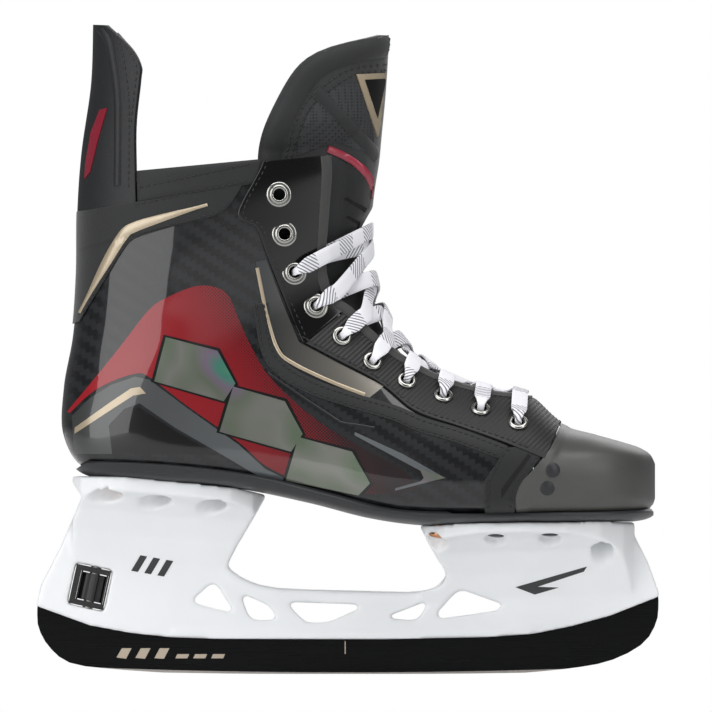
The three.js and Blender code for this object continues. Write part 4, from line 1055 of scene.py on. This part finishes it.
def placed(pattern, name, top, axis):
    """A copy of a turned piece with its top at that point and its axis along that line."""
    made = pattern.copy()
    made.data = pattern.data.copy()
    made.name = name
    bpy.context.scene.collection.objects.link(made)
    made.data.transform(pose(top, axis))
    return made


rivet = turned(
    "rivet pattern",
    [(0.02, -12.4), (2.1, -12.4), (2.1, -1.3), (4.2, -1.3), (4.1, -0.9), (3.4, -0.4), (2.2, -0.1),
     (0.02, 0)],
    20,
)
# Electroplated copper over a cold-formed head.
copper, tree, shader = new_material("copper-plated steel", "c98e66", 0.3, 1.0)
grained(tree, shader, 0.5 * MM, 0.08, 0.06, "d39a72", "b97f58")
# Steel made dark as painted shade, because the heads sit in shadow in their recesses; a dull metal
# shine.
rivet_steel_painted_dark, tree, shader = new_material("steel painted dark for shade", "4a4b4c", 0.35, 0.9)
grained(tree, shader, 0.5 * MM, 0.08, 0.06, "55565a", "3e3f41")
for k in range(1, 15):
    top, axis = axis_of(f"rivet_{k}", (0, 0, -1))
    made = placed(rivet, f"rivet_head_{k}", top, axis)
    dress(made, "boot", "hardware_steel", copper if k in (1, 2, 7, 8) else rivet_steel_painted_dark, f"rivet_{k}")
bpy.data.objects.remove(rivet)

# ---- Lacing facings ----
# Two strips on each side carry the eyelets: gloss film over synthetic leather above, ribbed
# rubber below, with a stitched binding all along the opening.
REAR_SEAM = smooth(
    [(-36, 262), (-41, 242), (-52.4, 218.5), (-44, 212), (-38, 196.7), (-30.6, 178), (-22, 158)], 40
)
LOW_SEAM = smooth(
    [(-26, 160), (-5.2, 149), (15.2, 137.8), (31.8, 124.6), (53.2, 117), (76, 109), (108, 96)], 40
)
FACING_SPLIT, FACING_TOP = 12.2, 18.52
RIB_PITCH, RIB_SLANT = 1.9, math.radians(42)


def lacing_edge(t):
    """How far the facings' inner edge lies from the top: the two sides meet before the opening."""
    return mix(0.4, throat(t), smoothstep(5.6, 6.1, t))


def upper_facing(side):
    def place(u, v):
        t = mix(FACING_SPLIT + 0.03, FACING_TOP, u)
        return t, side * mix(round_on(t, REAR_SEAM), around(t) - throat(t), v)

    return place


def lower_facing(side):
    def place(u, v):
        reach = mix(round_on(6, LOW_SEAM), around(6) - lacing_edge(6), v) / around(6)
        t = mix(toe_edge(side * min(reach, 0.995)) - 0.01, FACING_SPLIT - 0.03, u)
        low = min(round_on(t, LOW_SEAM), around(t) - lacing_edge(t) - 1)
        return t, side * mix(low, around(t) - lacing_edge(t), v)

    return place


def ribbed(u, v, t, length):
    x, _, z = surface(t, length)
    across = (z * math.cos(RIB_SLANT) - x * math.sin(RIB_SLANT)) / RIB_PITCH
    inner = smoothstep(0.03, 0.08, v) * (1 - smoothstep(0.9, 0.95, v))
    return 1.45 + 0.4 * inner * (0.5 + 0.5 * math.cos(2 * math.pi * across)) ** 0.7


bores = []
eyelet_axes = {}
for name, side in SIDES:
    for k in range(1, 11):
        top, axis = axis_of(f"eyelet_{name}_{k}", (0, side, 0.4))
        eyelet_axes[name, k] = (top, axis)
        bpy.ops.object.select_all(action="DESELECT")
        bpy.ops.mesh.primitive_cylinder_add(vertices=20, radius=3.1 * MM, depth=14 * MM)
        bore = bpy.context.object
        bore.data.transform(pose(top - 4 * axis, axis))
        bores.append(bore)
punch = joined("punch", bores)


def punched(made):
    apply_modifier(made, "BOOLEAN", object=punch, operation="DIFFERENCE", solver="EXACT")
    return made


# Smooth black film: deep black with a sharp reflection.
gloss, tree, shader = new_material("black gloss film on synthetic leather", "050506", 0.16)
# Moulded rubber: matt, with its ribs cut in the mesh.
rubber, tree, shader = new_material("ribbed rubber", "2b2b2b", 0.55, specular_ior_level=0.3)
grained(tree, shader, 0.5 * MM, 0.3, 0.05, "2e2e2e", "262626")
for name, side in SIDES:
    upper = punched(skin(f"gloss_facing_{name}", upper_facing(side), 110, 24, 1.8, 0.4))
    dress(upper, "boot", "facing_gloss", gloss, f"facing_upper_{name}")
    lower = punched(skin(f"ribbed_facing_{name}", lower_facing(side), 420, 60, ribbed, 0.4, edge=0))
    dress(lower, "boot", "facing_ribbed", rubber, f"facing_lower_{name}")
punched(shell)

# ---- Eyelets ----
# Nickel-plated brass eyelets, rolled at the lip; the top four on each side sit on a washer.
eyelet = turned(
    "eyelet pattern",
    [(2.7, -7.3), (3.25, -7.3), (3.25, -1.0), (4.7, -1.0), (4.75, -0.8), (4.55, -0.45),
     (4.1, -0.12), (3.6, 0.0), (3.1, -0.05), (2.8, -0.3), (2.68, -0.8)],
    32,
)
washer = turned(
    "washer pattern",
    [(3.5, -1.12), (5.9, -1.12), (5.95, -0.95), (5.7, -0.72), (5.2, -0.62), (3.5, -0.62)],
    32,
)
# Barrel-polished nickel with light handling marks.
nickel, tree, shader = new_material("nickel-plated brass", "a5a4a0", 0.24, 1.0)
grained(tree, shader, 0.6 * MM, 0.05, 0.06, "b2b1ad", "8f8e8a")
for (name, k), (top, axis) in eyelet_axes.items():
    pieces = [placed(eyelet, f"eyelet_ring_{name}_{k}", top, axis)]
    if k <= 4:
        pieces.append(placed(washer, "washer", top, axis))
    made = joined(f"eyelet_ring_{name}_{k}", pieces)
    dress(made, "boot", "eyelet_metal", nickel, f"eyelet_{name}_{k}")
for pattern in (eyelet, washer, punch):
    bpy.data.objects.remove(pattern)

# ---- Facing details ----
# A folded grey binding is stitched along the opening. A silver foil panel lies behind the upper
# facing, a double-stitched band of synthetic leather behind both, and a strap runs to the sole.

# The same leather skived thin, so a little lighter.
binding_cloth, tree, shader = new_material("folded synthetic leather binding", "2e2e2d", 0.6,
                                           sheen_weight=0.2)
grained(tree, shader, 0.8 * MM, 0.3, 0.05, "313130", "282827")
# Metallised film, dark behind and lighter towards the toe.
silver, tree, shader = new_material("silver foil under clear film", "5d5d5b", 0.34, 0.6,
                                    coat_weight=0.8)
graded(tree, shader, -0.04, 0.012, "2c2f31", "807c74")
BINDING = 5.2


def binding(side):
    def place(u, v):
        t = mix(5.85, FACING_TOP - 0.02, u)
        return t, side * (around(t) - lacing_edge(t) - BINDING * (1 - v) + 0.5)

    return place


def rolled(u, v, t, length):
    return 1.9 + 0.7 * max(math.sin(math.pi * v), 0) ** 0.6


def shifted(path, dx, dz, first=0, last=None):
    return [(p[0] + dx, p[1] + dz) for p in path[first:last]]


SILVER_PANEL = [(-44, 195.7), (-39.5, 177.7), (-35.5, 161), (-29.4, 150), (-18.1, 143),
                (-1.4, 135), (10, 131), (17, 136.6), (-4.8, 147.6), (-23.3, 157.6), (-31.5, 177),
                (-39, 197)]
OUTER_BAND = smooth([(-41.3, 176), (-38, 154.4), (-31.3, 145), (-18.1, 137), (1.9, 130),
                     (21.8, 124), (35.1, 118.4), (53.2, 113), (74.6, 105)], 40)
STRAP = [(75, 107), (64.6, 91), (65.1, 74), (79, 74), (79.4, 84), (81, 89), (92, 104), (84, 108)]
STRAP_SLOT = [(85.5, 104.6), (72.6, 87.5), (73, 83.4), (75.2, 86.8), (87, 103.6)]
FACING_STRIPE = smooth([(-43.2, 193), (-38, 168), (-33, 153.5), (-26, 147.4), (-9, 139.2), (8, 132.6)],
                       30)
CARBON_SEAM = [(-38, 143), (-20, 130.5), (-3.3, 119.5), (12.8, 117)]
cap_base = pressing(toe_cap)
# A flat near-black piece laid over a slot: painted shade for the slot's inside, which lies in shadow.
slot_shade_sheet, _, _ = new_material("painted slot shade", "060606", 0.9)
stud = turned("stud pattern", [(0.02, -1.2), (3.6, -1.2), (3.6, -0.25), (3.3, 0), (0.02, 0.1)], 28)
for name, side in SIDES:
    edging = skin(f"binding_{name}", binding(side), 150, 8, rolled, -2.9, edge=0)
    dress(edging, "boot", "synthetic_leather", binding_cloth)
    dress(applique(f"silver_panel_{name}", SILVER_PANEL, side, boot_base, -0.1, 0.35), "boot", "shell",
          silver)
    piping = strip(f"facing_stripe_{name}", FACING_STRIPE, 1.7, side, boot_base, 0.45, 0.3)
    dress(piping, "boot", "shell", foil)
    band = strip(f"outer_band_{name}", OUTER_BAND, 7, side, boot_base, 0.35, 0.35)
    dress(band, "boot", "synthetic_leather", microfibre)
    strap = applique(f"toe_strap_{name}", STRAP, side, boot_base, -0.2, 1.0, spacing=1.8)
    dress(strap, "boot", "synthetic_leather", microfibre)
    strap_base = pressing(strap, shell)
    # The strap's slot is a flat near-black piece: painted shade.
    dark = applique(f"strap_slot_shade_{name}", STRAP_SLOT, side, strap_base, -0.1, 0.12)
    dress(dark, "boot", "synthetic_leather", slot_shade_sheet)
    facings = [bpy.data.objects[f"{kind}_facing_{name}"] for kind in ("gloss", "ribbed")]
    facing_base = pressing(*facings, shell, band, strap)
    rows = [
        (shifted(REAR_SEAM, 2.6, 0.8, 1), facing_base),
        (shifted(LOW_SEAM, 0.4, 2.2, 1, 36), facing_base),
        (shifted(OUTER_BAND, -2.2, -1.6), facing_base),
        (shifted(OUTER_BAND, 1.2, 1.6), facing_base),
        ([(73.6, 104), (66.6, 91), (66.8, 76)], strap_base),
        ([(89.6, 103), (79.6, 90.6), (77.6, 86), (77.2, 76)], strap_base),
    ]
    made = joined(f"facing_stitches_{name}", [stitches("row", path, side, base) for path, base in rows])
    dress(made, "boot", "synthetic_leather", thread)
    seam = strip(f"carbon_seam_{name}", CARBON_SEAM, 0.9, side, boot_base, 0.0, 0.25)
    dress(seam, "boot", "shell", black_film)
    for k, centre in enumerate([(97.2, 96.9), (94.7, 88.3)]):
        top = press(cap_base, side, *centre, 0.35)
        face = top - press(cap_base, side, *centre, -0.65)
        made = placed(stud, f"toe_stud_{k + 1}_{name}", top, face / np.linalg.norm(face))
        dress(made, "boot", "toe_cap", sole_plastic)
bpy.data.objects.remove(stud)

# ---- Lining and collar ----
# The ankle is lined with brushed nylon over heat-formed foam. The collar pads are the same foam
# under synthetic leather, and close the shell's top edge.
LINER_FRONT = smooth([(0, 110), (-29, 150), (-41, 180), (-46.5, 215), (-46.5, 262)], 30)
GUARD_FRONT = smooth(
    [(-100, 196), (-101, 236.6), (-101.2, 260.8), (-99, 282), (-98.8, 289), (-104, 298), (-117, 309.5)],
    40
)
COLLAR_FRONT = [np.array([-41.5, 200.0]), np.array([-41.5, 300.0])]


def plump(value, low, high):
    """How much of its thickness a padded piece has at a distance across it."""
    near = min(value - low, high - value) / (high - low) * 4
    return math.sqrt(max(1 - (1 - min(max(near, 0), 1)) ** 2, 0))


def pad(name, place, steps, across, inner, outer, soft_ends=True):
    """A padded sheet over the last between two lifts, which thins to its seams all round."""
    grids = []
    for sign in (1, -1):
        grid = np.zeros((steps + 1, across + 1, 3))
        for i in range(steps + 1):
            for j in range(across + 1):
                u, v = i / steps, j / across
                t, length = place(u, v)
                low, high = (f(t, length) if callable(f) else f for f in (inner, outer))
                full = plump(v, 0, 1) * (plump(u, -0.02, 1.02) if soft_ends else 1)
                lift = (low + high) / 2 + sign * (high - low) / 2 * (0.25 + 0.75 * full)
                grid[i, j] = surface(t, length, lift)
        grids.append(grid)
    made = layered(name, grids[0], grids[1], edge=0)
    apply_modifier(made, "SMOOTH", factor=0.5, iterations=2)
    return made


LINER_SECTIONS = (13.5, 18.42)


def liner_place(u, v):
    t = mix(*LINER_SECTIONS, u)
    return t, (2 * v - 1) * round_on(t, LINER_FRONT)


# Brushed knit: soft, dark, with a sheen where it turns away.
nap, tree, shader = new_material("brushed nylon lining", "1f1f22", 0.95, sheen_weight=0.5)
grained(tree, shader, 0.45 * MM, 0.5, 0.03, "222226", "1b1b1e")
liner = pad("ankle_lining", liner_place, 60, 90, -8.8, -2.8)
dress(liner, "boot", "lining", nap, "ankle_liner")


COLLAR_SECTIONS = (17.97, 18.6)


def collar_place(side):
    def place(u, v):
        t = mix(*COLLAR_SECTIONS, u)
        rear = round_on(t, [p + np.array([0.6, 0]) for p in GUARD_FRONT])
        return t, side * mix(rear, round_on(t, COLLAR_FRONT), v)

    return place


for name, side in SIDES:
    collar = pad(f"collar_{name}", collar_place(side), 16, 50, -2.4, 1.6)
    dress(collar, "boot", "synthetic_leather", microfibre, f"collar_pad_{name}")
    collar_base = pressing(collar, overlay)
    rim_row = [(x, 233.8 + 0.213 * (x + 50)) for x in np.linspace(-100, -50, 12)]
    top_row = [(x, 241.6 + 0.213 * (x + 50)) for x in np.linspace(-98, -48, 12)]
    both_rows = [stitches("row", path, side, collar_base) for path in (rim_row, top_row)]
    made = joined(f"collar_stitches_{name}", both_rows)
    dress(made, "boot", "synthetic_leather", thread)

# ---- Tendon guard ----
# A flexible moulded guard behind the ankle with a padded lining, sewn to the collar.
GUARD_BEND = ("boot", "tendon_guard", (-0.127, 0, 0.219), (-0.124, 0, 0.250))


def bent(made, bend, slot, finish, *nodes):
    """Gives a piece its finish, bakes its place into its mesh, and hides the CAD nodes it stands for;
    its bend and slot are not used.
    """
    coat(made, finish)
    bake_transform(made)
    if nodes:
        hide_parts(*nodes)
    return made


GUARD_SECTIONS = (17.9, 20.96)


def guard_place(u, v):
    t = mix(*GUARD_SECTIONS, u)
    return t, (2 * v - 1) * max(round_on(t, GUARD_FRONT), 1.5)


GUARD_PAD_SECTIONS = (18.55, 20.8)


def guard_lining_place(u, v):
    t = mix(*GUARD_PAD_SECTIONS, u)
    return t, (2 * v - 1) * max(round_on(t, GUARD_FRONT) - 3, 1.5)


# Flexible polyurethane with a satin moulded grain.
guard_plastic, tree, shader = new_material("flexible moulded polyurethane", "1f2021", 0.5,
                                           specular_ior_level=0.3)
grained(tree, shader, 1.0 * MM, 0.3, 0.05, "222325", "1a1b1c")
guard = skin("guard", guard_place, 80, 70, 0.6, -2.4, edge=0.8)
bent(guard, GUARD_BEND, "guard", guard_plastic, "tendon_guard")
guard_pad = pad("guard_pad", guard_lining_place, 50, 50, -8.8, -2.8)
bent(guard_pad, GUARD_BEND, "lining", nap, "tendon_guard_lining")
guard_base = pressing(guard)
# Tinted urethane, clear and deep red.
translucent, tree, shader = new_material("translucent red urethane", "7a1226", 0.25, coat_weight=0.6)
GUARD_PIPING = smooth([(-117.6, 306), (-113.5, 298.8), (-110.5, 282.1), (-109.4, 267.9), (-109.6, 232)],
                      40)
GUARD_INSERT = [(-117.8, 267.9), (-114.2, 268.8), (-118.6, 253.6), (-122.3, 238.4), (-125, 235),
                (-124.6, 242), (-122, 257)]
for name, side in SIDES:
    piping = strip(f"guard_piping_{name}", GUARD_PIPING, 3.4, side, guard_base, 0.1, 1.0)
    bent(piping, GUARD_BEND, "guard", guard_plastic)
    insert = applique(f"guard_insert_{name}", GUARD_INSERT, side, guard_base, -0.2, 0.4, spacing=1.6)
    bent(insert, GUARD_BEND, "guard", translucent)
    row = stitches(f"guard_stitches_{name}", [(p[0] + 5.4, p[1]) for p in GUARD_PIPING[6:]], side,
                   guard_base)
    bent(row, GUARD_BEND, "synthetic_leather", thread)
    edge_row = stitches(f"guard_edge_stitches_{name}", shifted(GUARD_FRONT, -1.8, 0, 14, 34), side,
                        guard_base)
    bent(edge_row, GUARD_BEND, "synthetic_leather", thread)

# ---- Tongue ----
# Felt-backed foam under synthetic leather, sewn in at the toe and free above, with a rolled rim.
# Where the lace presses on it, it lies deeper.
TONGUE_SIDE = smooth(
    [(-26, 130), (-31, 160), (-37, 196), (-42, 232), (-41.6, 253), (-34.7, 270.8), (-22.8, 289.3),
     (-7.6, 297.8), (15.4, 302.6)],
    60,
)
TONGUE_BEND = ("boot", "tongue_flap", (-0.013, 0, 0.238), (-0.015, 0, 0.264))
TONGUE_THICKNESS = 8


def tongue_out(t, length):
    back = around(t) - abs(length)
    edge = smoothstep(0, 1, (throat(t) - 14 - back) / 8)
    free = min(max((t - 18.8) / 0.6, 0), 1)
    above = min(max((t - 15.2) / 0.9, 0), 1)
    return mix(-7.4, -1.2, above * max(edge, free))


TONGUE_SECTIONS = (6.8, 20.96)


def tongue_place(u, v):
    t = mix(*TONGUE_SECTIONS, u)
    low = throat(t) + mix(10, 22, min(max((t - 7) / 5, 0), 1))
    high = around(t) - round_on(t, TONGUE_SIDE)
    half = mix(low, high, smoothstep(12.6, 13.4, t))
    back = (2 * v - 1) * max(half, 2)
    return t, (-1 if back < 0 else 1) * (around(t) - abs(back))


# Soft synthetic leather, dull and grained.
tongue_cloth, tree, shader = new_material("synthetic leather over felt", "252627", 0.7,
                                          specular_ior_level=0.25, sheen_weight=0.3)
grained(tree, shader, 0.8 * MM, 0.4, 0.06, "292a2b", "1f2021")
tongue = pad("tongue", tongue_place, 150, 80, lambda t, s: tongue_out(t, s) - TONGUE_THICKNESS,
             tongue_out)
bent(tongue, TONGUE_BEND, "synthetic_leather", tongue_cloth, "tongue_lower", "tongue_upper")
tongue_base = pressing(tongue)
RIM = [p for p in TONGUE_SIDE if p[1] > 236]
ROLL = [(p[0] + 5.2, p[1] - 3.6) for p in RIM]
ROLL_SEAM = smooth([(-30, 243), (-28.4, 249.8), (-24.7, 262.2), (-19.7, 272), (-13.7, 277.6),
                    (-3.8, 285), (4.8, 288.3), (20, 289.5)], 40)
MESH_PANEL = [(-24.5, 246), (-23, 256), (-18.5, 267), (-13, 273.6), (-5, 279), (4, 281.6),
              (9, 271), (12, 256), (12.5, 246), (-6, 253)]
UNDER_PANEL = [(-24, 240), (-7.5, 246), (8, 238), (13, 226), (12, 214), (11, 198), (-8, 198),
               (-19, 216)]
PLATE = [(3.8, 284.8), (20.6, 285.6), (13.6, 255)]
PLATE_INNER = [(7.5, 282.2), (17.4, 282.8), (13.4, 264)]
BAND = [(-15.5, 277), (0, 261), (14.2, 245.6)]
STRIPE_RED = smooth([(-9.6, 249.4), (0, 245), (6.6, 240), (10.6, 234), (13.2, 226)], 24)
SLOTS = [(3.4, 222.8), (4.4, 214), (4.6, 205.6), (4.6, 198.2)]
# Knitted mesh with 1.5 mm openings, painted near black: partly the dark layer beneath, partly painted
# shade.
open_mesh, tree, shader = new_material("open-weave nylon mesh", "1d1e1f", 0.85)
spot = node(tree, "ShaderNodeTexCoord")
MESH_PITCH = 1.5 * MM
weave = node(tree, "ShaderNodeTexVoronoi", {"Vector": spot.outputs["Object"], "Scale": 1 / MESH_PITCH,
                                            "Randomness": 0.1})
# Near black in the openings: painted shade over the dark layer beneath.
tone = node(tree, "ShaderNodeValToRGB", {"Fac": weave.outputs["Distance"]})
tone.color_ramp.elements[0].position = 0.2
tone.color_ramp.elements[0].color = colour("0a0a0b")
tone.color_ramp.elements[1].position = 0.45
tone.color_ramp.elements[1].color = colour("2b2c2e")
tree.links.new(tone.outputs[0], shader.inputs["Base Color"])
# Woven satin tape, with a low shine.
pink, _, _ = new_material("red satin tape", "8c1f35", 0.4, coat_weight=0.3)
for name, side in SIDES:
    parts = [
        (strip(f"tongue_roll_{name}", ROLL, 11, side, tongue_base, 0.0, 2.0), microfibre),
        (stitches(f"tongue_roll_stitches_{name}", ROLL_SEAM, side, tongue_base, 0.3), thread),
        (stitches(f"tongue_edge_stitches_{name}", shifted(ROLL_SEAM, 2.0, -2.6), side, tongue_base,
                  0.3), thread),
        (applique(f"tongue_mesh_{name}", MESH_PANEL, side, tongue_base, -0.2, 0.25), open_mesh),
        (applique(f"tongue_panel_{name}", UNDER_PANEL, side, tongue_base, -0.2, 0.5), microfibre),
        (strip(f"tongue_band_{name}", BAND, 5.4, side, tongue_base, 0.5, 0.6), microfibre),
        (applique(f"tongue_plate_{name}", PLATE, side, tongue_base, -0.2, 0.8), foil),
        (applique(f"tongue_plate_face_{name}", PLATE_INNER, side, tongue_base, 0.1, 1.0), black_film),
        (strip(f"tongue_stripe_{name}", STRIPE_RED, 3.4, side, tongue_base, 0.6, 0.5), pink),
    ]
    # The tongue's slots are flat near-black pieces: painted shade.
    for k, (x, z) in enumerate(SLOTS):
        shape = [(x - 5.5, z + 3.2), (x - 3.6, z + 3.6), (x + 5.2, z - 1.6), (x + 5.6, z - 3.4),
                 (x + 3.6, z - 3.2)]
        parts.append((applique(f"tongue_slot_shade_{k + 1}_{name}", shape, side, tongue_base, 0.1, 0.62),
                      slot_shade_sheet))
    for piece, finish in parts:
        bent(piece, TONGUE_BEND, "synthetic_leather", finish)

# ---- Lace ----
# One flat woven polyester lace, 7.6 mm wide and 1.5 mm thick, with grey hatching. It comes up
# through every eyelet below the top two and its ends are tucked in beside the tongue.
LACE_WIDTH, LACE_THICKNESS = 7.6, 1.5
EYELETS = [
    (17.59, 70.5), (16.41, 65.8), (14.86, 58.9), (13.10, 48.9), (11.57, 43.1),
    (10.37, 39.0), (9.17, 35.5), (8.03, 34.3), (7.08, 37.3), (6.18, 43.4),
]
FIRST_LACED = 2


def through(side, k):
    """Up out of an eyelet and over the facing's edge: section, distance from the top, lift and
    share of the width."""
    t, back = EYELETS[k]
    lip = throat(t)
    steps = [
        (lip - 3, -5.8, 1), (back - 7.5, -5.9, 1), (back - 4.9, -5.95, 0.5), (back - 1.2, -5.3, 0.42),
        (back - 0.1, -2.6, 0.42), (back - 0.1, 1.6, 0.42), (back - 0.8, 4.3, 0.45),
        (back - 3.4, 5.2, 0.7), (back - 7, 4.7, 1), (lip + 1, 4.2, 1), (lip - 4, 2.8, 1),
    ]
    return [(t, side * away, lift, share) for away, lift, share in steps]


def crossing(k, level, side):
    """Over the tongue to the other side's next eyelet, at that level above it."""
    a, b = EYELETS[k][0], EYELETS[k - 1][0]
    reach = 0.42 * throat((a + b) / 2)
    return [(mix(a, b, 0.5 + 0.22 * s), -side * s * reach, level, 1) for s in (-1, 0, 1)]


def half_lace(side, level):
    """One end of the lace from the toe up to the last laced eyelet, then in beside the tongue."""
    path = []
    for k in range(9, FIRST_LACED - 1, -1):
        path += through(side, k)
        if k > FIRST_LACED:
            path += crossing(k, level, side)
        side = -side
    side = -side
    t = EYELETS[FIRST_LACED][0]
    lip = throat(t)
    path += [
        (t + 0.02, side * 0.42 * lip, level, 1), (t + 0.03, 0, level, 1),
        (t + 0.04, -side * 0.42 * lip, level, 1),
        (t + 0.1, -side * (lip - 3), -3.8, 1), (t + 0.3, -side * (lip + 3), -5.1, 1),
    ]
    for rise in (0.75, 1.2, 1.7, 2.2):
        path.append((t + rise, -side * (throat(t + rise) + 4.6), -5.2, 0.8 if rise > 2 else 1))
    return path


def lace_point(step):
    t, back, lift, _ = step
    return surface(t, (-1 if back < 0 else 1) * (around(t) - abs(back)), lift)


route = half_lace(-1, -0.8)[::-1] + [(EYELETS[9][0], 0, -5.6, 1)] + half_lace(1, -2.8)
centres = np.array([lace_point(s) for s in route])
laced = np.sum(np.linalg.norm(np.diff(centres, axis=0), axis=1))
lace_ways = unit(np.gradient(centres, axis=0))
sideways = []
for (t, back, lift, _), way in zip(route, lace_ways):
    across = lace_point((t + 0.05, back, lift, 1)) - lace_point((t - 0.05, back, lift, 1))
    across -= way * np.dot(across, way)
    sideways.append(across / np.linalg.norm(across))
for k in range(1, len(sideways)):
    if np.dot(sideways[k], sideways[k - 1]) < 0:
        sideways[k] = -sideways[k]
LACE_STEP = 0.9
fine = np.array(smooth(list(centres), math.ceil(laced / LACE_STEP)))
share = np.linspace(0, len(route) - 1, len(fine))
wide = np.interp(share, range(len(route)), [s[3] for s in route])
turn_to = np.stack([np.interp(share, range(len(route)), [s[k] for s in sideways]) for k in range(3)],
                   axis=1)
fine_ways = unit(np.gradient(fine, axis=0))
turn_to = unit(turn_to - fine_ways * np.sum(turn_to * fine_ways, axis=1)[:, None])
up_to = np.cross(fine_ways, turn_to)
flip = np.linspace(-1, 1, 9)
grids = []
for sign in (1, -1):
    thick = LACE_THICKNESS / 2 * np.sqrt(1 - np.abs(flip) ** 6 * 0.75)
    grids.append(
        fine[:, None]
        + turn_to[:, None] * flip[None, :, None] * wide[:, None, None] * LACE_WIDTH / 2
        + up_to[:, None] * thick[None, :, None] * sign
    )
lace = layered("woven_lace", grids[0], grids[1], edge=0)
# Flat woven polyester: white, with a 0.8 mm weave and hatched grey bands.
lace_yarn, tree, shader = new_material("woven polyester lace", "e6e6ea", 0.85, sheen_weight=0.3)
spot = node(tree, "ShaderNodeUVMap", uv_map="sheet")
axes = node(tree, "ShaderNodeSeparateXYZ", {0: spot})
HATCH_REPEAT, HATCH_PITCH = 26 * MM, 1.9 * MM
place = node(tree, "ShaderNodeMath", {0: axes.outputs["X"], 1: HATCH_REPEAT},
             operation="FLOORED_MODULO")
marked = node(tree, "ShaderNodeMath", {0: place, 1: HATCH_REPEAT * 0.42}, operation="LESS_THAN")
lean = node(tree, "ShaderNodeMath", {0: axes.outputs["Y"], 1: 0.8, 2: axes.outputs["X"]},
            operation="MULTIPLY_ADD")
line = node(tree, "ShaderNodeMath", {0: lean, 1: HATCH_PITCH}, operation="FLOORED_MODULO")
inked = node(tree, "ShaderNodeMath", {0: line, 1: HATCH_PITCH * 0.4}, operation="LESS_THAN")
both = node(tree, "ShaderNodeMath", {0: marked, 1: inked}, operation="MULTIPLY")
two_tone(tree, shader, both, "e2e2e7", "77777d")
YARN = 0.8 * MM
yarns = node(tree, "ShaderNodeMapping", {"Vector": spot, "Scale": (1 / YARN, 1 / YARN, 1)})
knots = node(tree, "ShaderNodeTexVoronoi", {"Vector": yarns, "Scale": 1.0, "Randomness": 0.15})
relief = node(tree, "ShaderNodeBump", {"Height": knots.outputs["Distance"], "Strength": 0.5,
                                       "Distance": 0.0002})
tree.links.new(relief.outputs[0], shader.inputs["Normal"])
dress(lace, "boot", "lace", lace_yarn, "lace")
